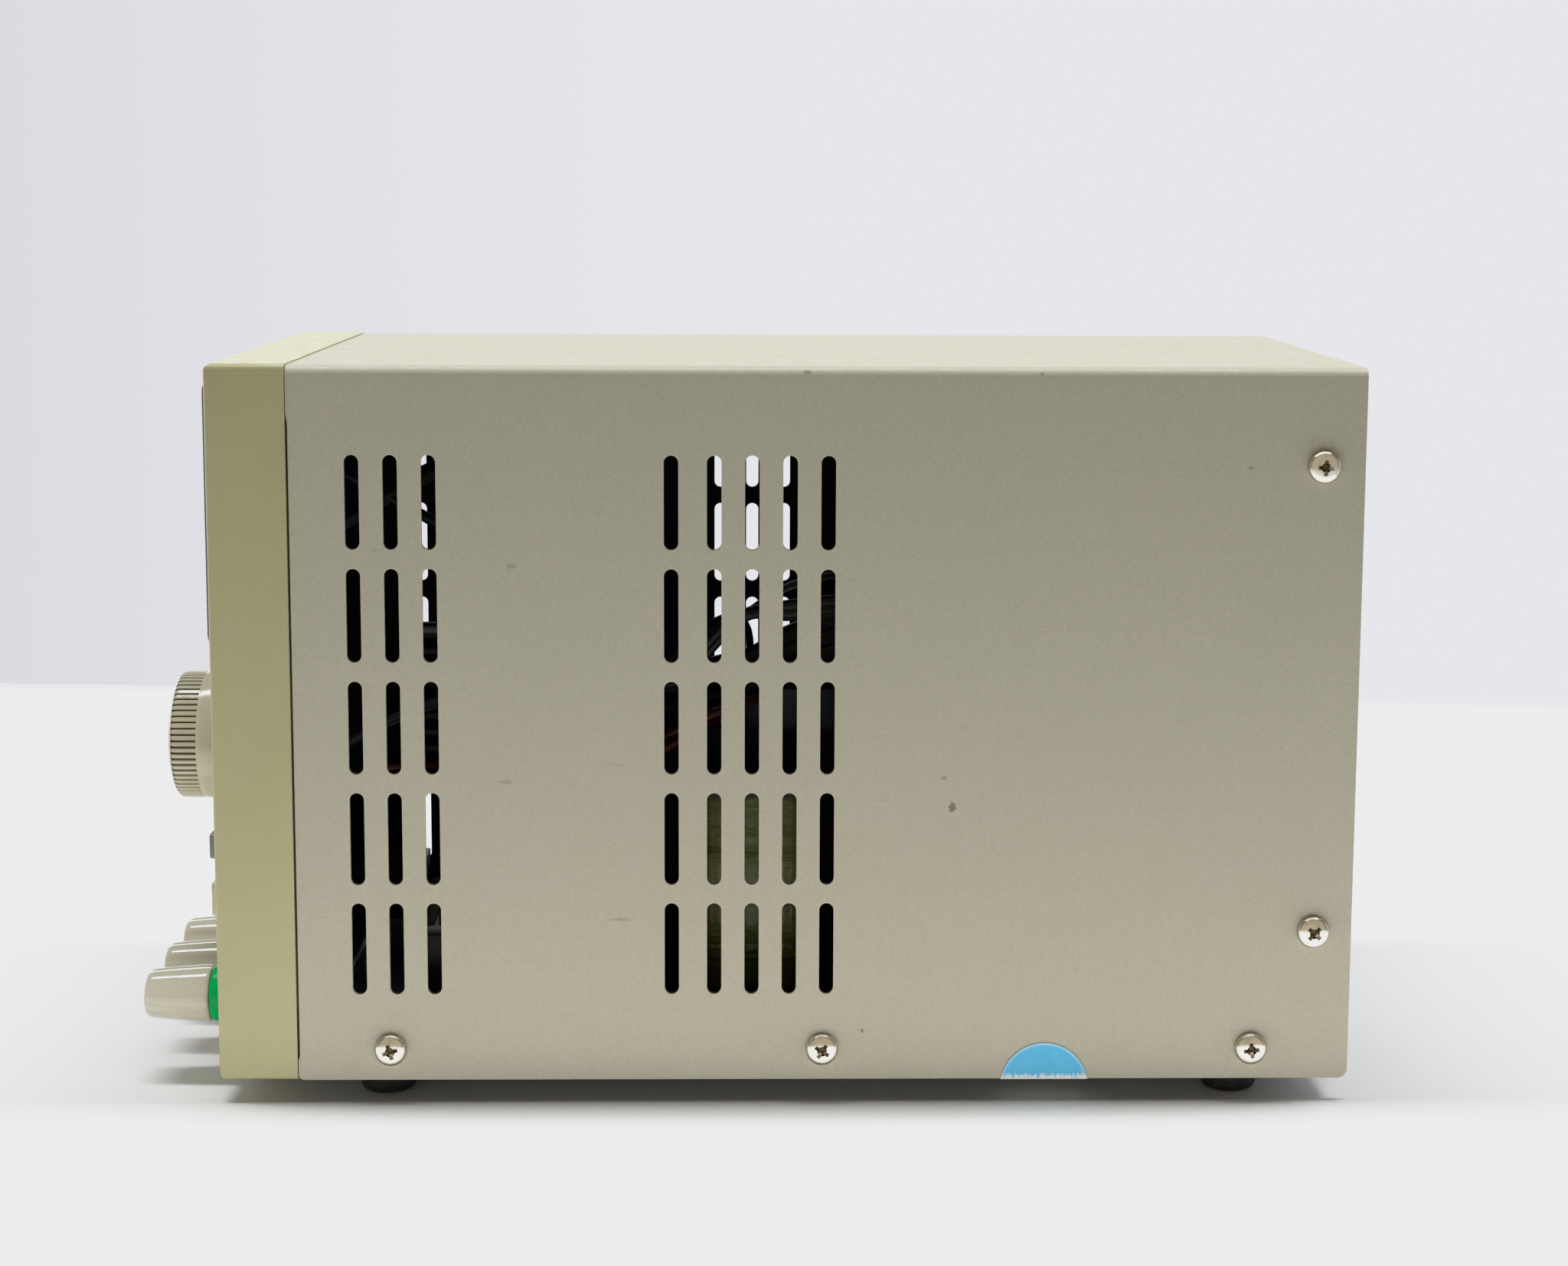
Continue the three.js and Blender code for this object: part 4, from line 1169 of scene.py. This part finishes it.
# ---- Screws, feet and the seal ----
def pan_head_screw():
    """A pan-head screw about +Z with a tapered cross recess. Its seat is at z = 0."""
    head = lathe(
        [(0, -5), (1.4, -5), (1.4, 0.02), (3.25, 0.02), (3.4, 0.12), (3.45, 0.45), (3.4, 0.85), (3.24, 1.25),
         (2.9, 1.6), (2.38, 1.86), (1.72, 2.04), (0.95, 2.15), (0, 2.19)],
        64,
    )
    for quarter in range(2):
        blade = plate([[(-0.4, 0.8), (0.4, 0.8), (2.25, 2.6), (-2.25, 2.6)]], -0.42, 0.42)
        head = carved(head, [moved(blade, turn(quarter * QUARTER, "Z"))])
    core = lathe([(0, 0.5), (0.6, 0.8), (1.25, 2.8), (0, 2.8)], 24)
    mesh = finish_mesh(carved(head, [core]), 40)
    mesh.materials.append(nickel)
    mesh.materials.append(recess_shade)
    # The faces deep in the cross recess take the painted recess shade.
    for face in mesh.polygons:
        in_cross = face.center.xy.length < 2.3
        if in_cross and (0 < face.center.z < 1.5 or 0 < face.normal.z < 0.6):
            face.material_index = 1
    return mesh


def add_cover_screws():
    screw = pan_head_screw()
    for index, (y, z) in enumerate(SCREW_PLACES):
        angle = 0.3 + index * 0.7
        for side, name in ((1, "right"), (-1, "left")):
            place = shift(side * cover_high.x, y, z)
            mesh = moved(screw.copy(), turn(angle, "Z"), turn(side * QUARTER, "Y"), place)
            piece(f"pan_screw_{name}_{index + 1}", mesh, node=f"cover_screw_{name}_{index + 1}")


def add_fan_screws():
    screw = pan_head_screw()
    for index, (x, z) in enumerate(((-25, -25), (25, -25), (25, 25), (-25, 25))):
        place = shift(FAN_CENTRE.x + x, panel_high.y, FAN_CENTRE.z + z)
        mesh = moved(screw.copy(), turn(0.5 + index, "Z"), turn(-QUARTER, "X"), place)
        piece(f"fan_screw_{index + 1}", mesh)


def add_feet():
    """Four tapered rubber feet, each with a screw head deep in its middle."""
    head = [(0, 0.95), (0.7, 0.95), (0.8, 0.9), (1.9, 0.98), (2.3, 1.3), (2.35, 1.65), (0, 1.65)]
    for node in ("front_left_foot", "front_right_foot", "rear_left_foot", "rear_right_foot"):
        low, high = span(node)
        tall = high.z - low.z
        profile = [
            (0, 1.6), (2.4, 1.6), (2.6, 1.4), (2.6, 0.2), (2.8, 0), (4.4, 0), (5.0, 0.12), (5.5, 0.4),
            (5.8, 0.9), (6.1, 1.8), (6.25, 3), (6.3, tall), (0, tall),
        ]
        foot = painted(standing(lathe(profile, 64), node), rubber)
        screw = painted(standing(lathe(head, 32), node), nickel)
        piece(f"{node}_rubber", merged(foot, screw), node=node)


def add_seal():
    """A round paper sticker folded under the cover's edge."""
    low, high = span("warranty_seal")
    centre_y = (low.y + high.y) / 2
    inset, fold, columns = 0.16, 0.25, 36
    half_turn = fold * QUARTER / 2
    spread = {round(SEAL_RADIUS * math.sin(math.pi * (step / 40 - 0.5)) * 0.999, 4) for step in range(41)}
    across_fold = {SEAL_PAST + offset * half_turn / 2 for offset in range(-4, 5)}
    work = bmesh.new()
    grid = []
    for row in sorted(spread | across_fold):
        half_width = math.sqrt(SEAL_RADIUS**2 - row * row)
        along = row - SEAL_PAST
        if along > half_turn:
            x, z = 0.0, along - half_turn + fold
        elif along < -half_turn:
            x, z = along + half_turn - fold, 0.0
        else:
            angle = (along / half_turn + 1) * QUARTER / 2
            x, z = fold * (math.sin(angle) - 1), fold * (1 - math.cos(angle))
        line = []
        for column in range(columns + 1):
            y = centre_y + half_width * (2 * column / columns - 1)
            line.append(work.verts.new((high.x - inset + x, y, low.z + inset + z)))
        grid.append(line)
    for lower, upper in zip(grid, grid[1:]):
        for column in range(columns):
            work.faces.new((lower[column], lower[column + 1], upper[column + 1], upper[column]))
    obj = piece("seal_paper", finish_mesh(written(work), 80), seal, "warranty_seal")
    thickness = obj.modifiers.new("paper", "SOLIDIFY")
    thickness.thickness = 0.14 * MM
    thickness.offset = 0


# ---- Inside: transformer, boards, capacitors, heatsinks, fan, inlet and wires ----
def add_transformer():
    low, high = span("transformer_coil")
    centre_y = (low.y + high.y) / 2
    width, depth = high.x - low.x, high.y - low.y
    core_low, core_high = span("transformer_core")
    leg = rect(core_low.x - 0.3, core_high.x + 0.3, centre_y - 7.15, centre_y + 7.15)
    layers = []
    for index, (start, stop) in enumerate(((2, 12), (11, 23), (22, 34), (33, 44))):
        grow = 0.25 * (index % 2)
        outline = rounded_rect(width - 1 + grow, depth - 1 + grow, 5, 0, centre_y)
        band = plate([outline, leg], low.z + start, low.z + stop, ALONG_Z, 0.15)
        layers.append(painted(band, tape))
    for start, stop in ((0, 2), (44, high.z - low.z)):
        outline = rounded_rect(width, depth, 2, 0, centre_y)
        flange = plate([outline, leg], low.z + start, low.z + stop, ALONG_Z, 0.2)
        layers.append(painted(flange, black))
    piece("coil_former", merged(*layers), node="transformer_coil")


def add_capacitors():
    for index in (1, 2):
        node = f"filter_capacitor_{index}"
        low, high = span(node)
        radius = (high.x - low.x) / 2
        tall = high.z - low.z
        profile = [
            (0, 0), (radius - 0.6, 0), (radius - 0.1, 0.4), (radius, 1), (radius, 3), (radius - 0.7, 3.8),
            (radius, 4.6), (radius, tall - 1.2), (radius - 0.3, tall - 0.5), (radius - 1, tall - 0.1),
            (radius - 2.2, tall), (radius - 2.5, tall - 0.4), (0, tall - 0.4),
        ]
        piece(f"{node}_can", standing(lathe(profile, 64), node), sleeve, node)


def add_board_parts():
    """A finned clip-on heatsink, film capacitors and resistors on the main board."""
    top = span("main_board")[1].z
    heights = [57 + 3.6 * fin for fin in range(10)]
    fins = [block((15, 37, height), (25, 46.5, height + 1.1)) for height in heights]
    spine = block((13.5, 37, 56), (15.2, 47.7, 91))
    leg = block((13.5, 45, top), (15.2, 47.7, 56.5))
    piece("clip_on_heatsink", merged(spine, leg, *fins), black_anodised)
    parts = []
    for x, y, wide, deep, tall in (
        (-38, 47, 8, 12, 11), (-38, 66, 7, 10, 9), (4, 44, 12, 6, 10), (38, 46, 7, 9, 12), (40, 62, 6, 11, 8),
        (0, 76, 10, 5, 7), (38, 76, 9, 5, 6),
    ):
        outline = rounded_rect(wide, deep, 0.8, x, y)
        finish = red_moulding if wide > 9 else black
        parts.append(painted(plate([outline], top, top + tall, ALONG_Z, 0.5), finish))
    piece("board_components", merged(*parts))


def add_heatsink():
    """Upright spine with flat fins and two power transistors."""
    low, high = span("heatsink")
    spine, fins, pitch, thick, lowest = 3.0, 9, 11.5, 2.0, 14.0
    right = [(spine, low.z)]
    for fin in range(fins):
        z = lowest + fin * pitch
        right += [(spine, z), (high.x, z), (high.x, z + thick)]
        if fin < fins - 1:
            right.append((spine, z + thick))
    outline = right + [(-x, z) for x, z in reversed(right)]
    parts = [painted(plate([outline], low.y, high.y, bevel=0.2), sink_metal)]
    for height in (46, 81):
        transistor = plate([rounded_rect(15, 9.5, 1, 0, height)], low.y - 4.8, low.y - 0.1, bevel=0.4)
        parts.append(painted(transistor, black))
    piece("finned_heatsink", merged(*parts), node="heatsink")


def add_fan():
    """A fan in two square flanges and a tube, with a hub on three struts and seven blades."""
    low, high = span("fan_frame")
    size = high.x - low.x
    x, z = FAN_CENTRE.x, FAN_CENTRE.z
    bore = circle(28.5, x, z, 72)
    flange_holes = [circle(2.2, x + dx, z + dz, 24) for dx in (-25, 25) for dz in (-25, 25)]
    shell = [rounded_rect(size, size, 4, x, z), bore, *flange_holes]
    parts = [plate(shell, start, start + 3, bevel=0.3) for start in (low.y, high.y - 3)]
    parts.append(plate([circle(29.7, x, z, 72), bore], low.y + 2.9, high.y - 2.9))
    parts.append(plate([circle(12, x, z), circle(1.6, x, z, 24)], high.y - 2.5, high.y, bevel=0.3))
    for strut in range(3):
        bar = block((11.5, -2.5, -1.5), (29, 0, 1.5))
        parts.append(moved(bar, turn(0.5 + strut * 4 * QUARTER / 3, "Y"), shift(x, high.y, z)))
    piece("fan_housing", merged(*parts), black, "fan_frame")
    hub = [(0, 0), (11, 0), (11.7, 0.3), (12, 1), (12, 13.5), (11.9, 15.6), (0, 15.6)]
    blades = [moved(lathe(hub, 64), turn(-QUARTER, "X"), shift(x, low.y + 1, z))]
    for blade in range(7):
        blades.append(moved(fan_blade(), turn(blade * 4 * QUARTER / 7, "Y"), shift(x, low.y + 8.4, z)))
    piece("fan_impeller", merged(*blades), black, "fan_rotor")


def fan_blade():
    """A thin twisted blade that reaches out along +X, drawn as a row of cambered sections."""
    work = bmesh.new()
    rings = []
    for step in range(9):
        share = step / 8
        radius = 11.5 + share * 16
        pitch = 0.95 - 0.35 * share
        chord = 6.8 + 1.2 * share
        ring = []
        for side in (-1, 1):
            for part in range(7):
                t = (part / 6 - 0.5) * 2 * -side
                camber = 1.1 * (1 - t * t)
                forward = t * chord * math.cos(pitch) + camber * math.sin(pitch)
                along = t * chord * math.sin(pitch) * 0.86 - camber * math.cos(pitch) + side * 0.5
                outward = math.sqrt(radius**2 - min(radius**2, forward**2))
                ring.append(work.verts.new((outward, along, forward)))
        rings.append(ring)
    join_rings(work, rings)
    work.faces.new(rings[0])
    work.faces.new(rings[-1])
    return finish_mesh(written(work))


def add_inlet():
    """A three-pin inlet with a chamfered cavity."""
    low, high = span("mains_inlet")
    x, z = INLET_CENTRE.x, INLET_CENTRE.z
    back = panel_high.y
    flange = plate([face_outline("mains_inlet", 2.5)], back + 0.1, high.y, ALONG_Y, 0.6, 3)
    body = plate([rounded_rect(27, 20, 1.9, x, z)], low.y, back + 1)
    cavity = [(-12, -8), (12, -8), (12, 3.5), (7.5, 8), (-7.5, 8), (-12, 3.5)]
    hole = plate([[(x + dx, z + dz) for dx, dz in cavity]], back - 15, high.y + 1)
    parts = [painted(carved(shell, [hole]), black) for shell in (flange, body)]
    for dx, dz in ((-7, -1.5), (7, -1.5), (0, 2.5)):
        pin = plate([rounded_rect(2, 4, 0.3, x + dx, z + dz, 3)], back - 16, back - 1, bevel=0.3)
        parts.append(painted(pin, brass))
    piece("inlet_socket", merged(*parts), node="mains_inlet")


def loose(points, wander):
    """The points, each moved a little, except for the two ends."""
    inner = [tuple(value + random.uniform(-wander, wander) for value in point) for point in points[1:-1]]
    return [points[0], *inner, points[-1]]


OUTPUT_PATH = [
    (27, 153, 99), (28, 120, 96), (27, 110, 95), (26, 103.5, 89), (25, 97, 80), (24, 80, 80), (28, 45, 76),
    (34, 13, 62),
]
SENSE_PATH = [(-12, 112, 69), (8, 106, 90), (20, 96, 84), (24, 70, 60), (20, 60, 54)]
THIN_PATH = [(30, 148, 104), (6, 128, 100), (-20, 112, 88), (-34, 96, 70), (-36, 70, 22)]
UPPER_PATH = [(4, 14, 109), (0, 38.6, 122.8), (-2, 62, 131)]
CROSSING_PATH = [(6, 16, 126), (0, 38.1, 112.7), (-4, 60, 98)]
RISING_PATH = [(0, 92, 75), (0, 104, 78.5), (0, 112, 80.6), (0, 120, 85.3), (4, 136, 92)]
RED_PATHS = (
    [(10, 118, 69), (24, 116, 76), (32, 104, 74), (30, 84, 64), (26, 70, 55)],
    [(14, 106, 69), (28, 104, 72), (34, 92, 66), (30, 76, 58), (24, 62, 54)],
    [(18, 50, 54), (24, 46, 60), (30, 36, 62), (33, 22, 60), (34, 12, 60)],
)
MAINS_PATH = [
    (30, 211, 30), (18, 209, 12), (-20, 211, 6.4), (-41, 190, 6.4), (-43, 120, 6.4), (-43, 60, 6.4),
    (-40, 34, 12),
]


def add_wires():
    strands = [strand(loose(OUTPUT_PATH, 1.2), 1.3) for _ in range(4)]
    strands.append(strand(loose(SENSE_PATH, 2), 0.9))
    strands += [strand(THIN_PATH, 0.9), strand(UPPER_PATH, 2.2), strand(CROSSING_PATH, 1.3)]
    for drop in (0, 3.6, 7.2):
        strands.append(strand([(x, y, z - drop) for x, y, z in RISING_PATH], 2.3))
    piece("output_wires", merged(*strands), black_wire, "dc_harness")
    reds = [strand(path, 0.9) for path in RED_PATHS]
    piece("secondary_wires", merged(*reds), red_wire)
    mains = [strand(loose(MAINS_PATH, 0.9), 1.1) for _ in range(2)]
    piece("mains_wires", merged(*mains), black_wire, "ac_harness")


def finish_cad_nodes():
    """Procedural finishes for the CAD nodes that stay in sight."""
    finishes = {
        "front_board": board_green,
        "main_board": board_green,
        "encoder_body": sink_metal,
        "encoder_shaft": nickel,
        "power_switch": black,
        "transformer_core": lamination,
    }
    for name, material in finishes.items():
        mesh = frame["nodes"][name].data
        mesh.materials.clear()
        mesh.materials.append(material)


add_cover()
add_seam_shade_strip()
add_tray()
add_rear_panel()
add_rating_plate()
add_bezel()
add_window()
add_displays()
add_front_board_parts()
add_keys()
add_power_button()
add_printing()
add_knob()
add_posts()
add_cover_screws()
add_fan_screws()
add_feet()
add_seal()
add_transformer()
add_capacitors()
add_board_parts()
add_heatsink()
add_fan()
add_inlet()
add_wires()
finish_cad_nodes()


# ---- Floor, light and camera ----
def add_floor():
    """A pale floor that ends in a clean far edge. It can't be seen from below."""
    near, side = 0.75, 1.0
    far_left, far_right = -0.4335, -0.322
    corners = [(far_left, -side, 0), (near, -side, 0), (near, side, 0), (far_right, side, 0)]
    mesh = bpy.data.meshes.new("floor")
    mesh.from_pydata(corners, [], [(0, 1, 2, 3)])
    obj = bpy.data.objects.new("floor", mesh)
    scene.collection.objects.link(obj)
    look = Finish("pale floor", (0.865, 0.86, 0.85), 0.38)
    look.blotch((0.89, 0.885, 0.87), 180, 3, 0.3, 0.7, 0.3)
    slope = (far_right - far_left) / (2 * side)
    edge = look.math("MULTIPLY", look.along(1), slope)
    from_edge = look.math("SUBTRACT", look.along(0), edge)
    far = (far_left + far_right) / 2
    # A darker band just before the far edge: a painted shade line where the floor ends.
    look.tint(look.range(from_edge, far + 0.011, far + 0.006, 0, 0.5), (0.6, 0.6, 0.62))
    look.grain(0.8, 2, 0.02, 0.3)
    below = look.add("ShaderNodeNewGeometry").outputs["Backfacing"]
    look.set("Alpha", look.math("SUBTRACT", 1.0, below))
    mesh.materials.append(look.material)


def add_world():
    """The camera sees a pale background. The object sees a bright sweep behind it, and its shiny parts
    also mirror a warm room behind the camera."""
    world = bpy.data.worlds.new("studio")
    scene.world = world
    world.use_nodes = True
    look = Shading(world.node_tree)
    toward = look.add("ShaderNodeTexCoord").outputs["Generated"]
    axes = look.add("ShaderNodeSeparateXYZ", {"Vector": toward}).outputs
    across = look.range(axes[1], -0.32, 0.02)
    seen_color = look.mix(across, (0.70, 0.69, 0.75, 1), (0.84, 0.845, 0.93, 1))
    seen = look.tree.nodes["Background"]
    look.join(seen_color, seen.inputs["Color"])
    behind = look.range(axes[0], 0.15, -0.25)
    low = look.range(axes[2], 0.45, 0.2)
    sweep = look.range(look.math("MULTIPLY", behind, low), 0, 1, 0.1, 1.7)
    rays = look.add("ShaderNodeLightPath").outputs
    room = look.math("MULTIPLY", look.range(axes[0], 0.0, 0.6, 0, 0.5), rays["Is Glossy Ray"])
    strength = look.math("ADD", sweep, room)
    color = look.mix(look.range(axes[0], -0.1, 0.3), (0.96, 0.98, 1.0, 1), (1.0, 0.9, 0.72, 1))
    light = look.add("ShaderNodeBackground", {"Color": color, "Strength": strength})
    inputs = {0: rays["Is Camera Ray"], 1: light.outputs[0], 2: seen.outputs[0]}
    both = look.add("ShaderNodeMixShader", inputs)
    look.join(both.outputs[0], look.tree.nodes["World Output"].inputs[0])


def set_tone_curve():
    """The highlights roll off below white, as they do on an overexposed white sweep."""
    settings = scene.view_settings
    settings.view_transform = "Standard"
    settings.use_curve_mapping = True
    mapping = settings.curve_mapping
    mapping.use_clip = False
    mapping.extend = "HORIZONTAL"
    points = mapping.curves[3].points
    points[0].location = (0, 0)
    points[1].location = (3, 0.9)
    for place in ((0.3, 0.3), (0.6, 0.6), (0.8, 0.775), (1.0, 0.845), (1.3, 0.88)):
        points.new(*place)
    mapping.update()


def add_area_light(name, size, watts, place, target, color, seen=True):
    light = bpy.data.lights.new(name, "AREA")
    light.shape = "RECTANGLE"
    light.size, light.size_y = size
    light.energy = watts
    light.color = color
    obj = bpy.data.objects.new(name, light)
    obj.location = place
    obj.rotation_euler = (Vector(target) - Vector(place)).to_track_quat("-Z", "Y").to_euler()
    obj.visible_camera = seen
    scene.collection.objects.link(obj)


def add_camera():
    """A camera off the right-hand side, level with its top. The lens is shifted only at this place, so
    that views taken from elsewhere stay centred."""
    camera = bpy.data.cameras.new("camera")
    camera.sensor_width = 36
    camera.lens = 58.24
    camera.clip_start = 0.01
    obj = bpy.data.objects.new("camera", camera)
    place = Vector((0.57315, FRONT + 0.1121, 0.19408))
    facing = Matrix(((0, 0, 1), (1, 0, 0), (0, 1, 0)))
    yaw = Matrix.Rotation(math.radians(-1.034), 3, "Y")
    pitch = Matrix.Rotation(math.radians(-7.089), 3, "X")
    roll = Matrix.Rotation(math.radians(0.240), 3, "Z")
    obj.matrix_world = Matrix.Translation(place) @ (facing @ yaw @ pitch @ roll).to_4x4()
    scene.collection.objects.link(obj)
    scene.camera = obj
    for channel, amount in (("shift_x", -0.0083), ("shift_y", -0.0881)):
        driver = camera.driver_add(channel).driver
        variable = driver.variables.new()
        variable.name = "x"
        variable.type = "TRANSFORMS"
        variable.targets[0].id = obj
        variable.targets[0].transform_type = "LOC_X"
        variable.targets[0].transform_space = "WORLD_SPACE"
        driver.expression = f"{amount} if abs(x - {place.x}) < 0.0001 else 0"


add_floor()
add_world()
add_area_light("overhead", (0.14, 1.6), 24.0, (-0.005, 0.0, 1.35), (-0.005, 0.0, 0), (0.985, 1.0, 1.055))
# The bright sweep close in front of the object throws light up at its side.
add_area_light("bounce", (0.18, 0.6), 0.293, (0.15, 0.01, 0.001), (0.15, 0.01, 1), (1, 0.985, 0.93), False)
add_camera()
set_tone_curve()
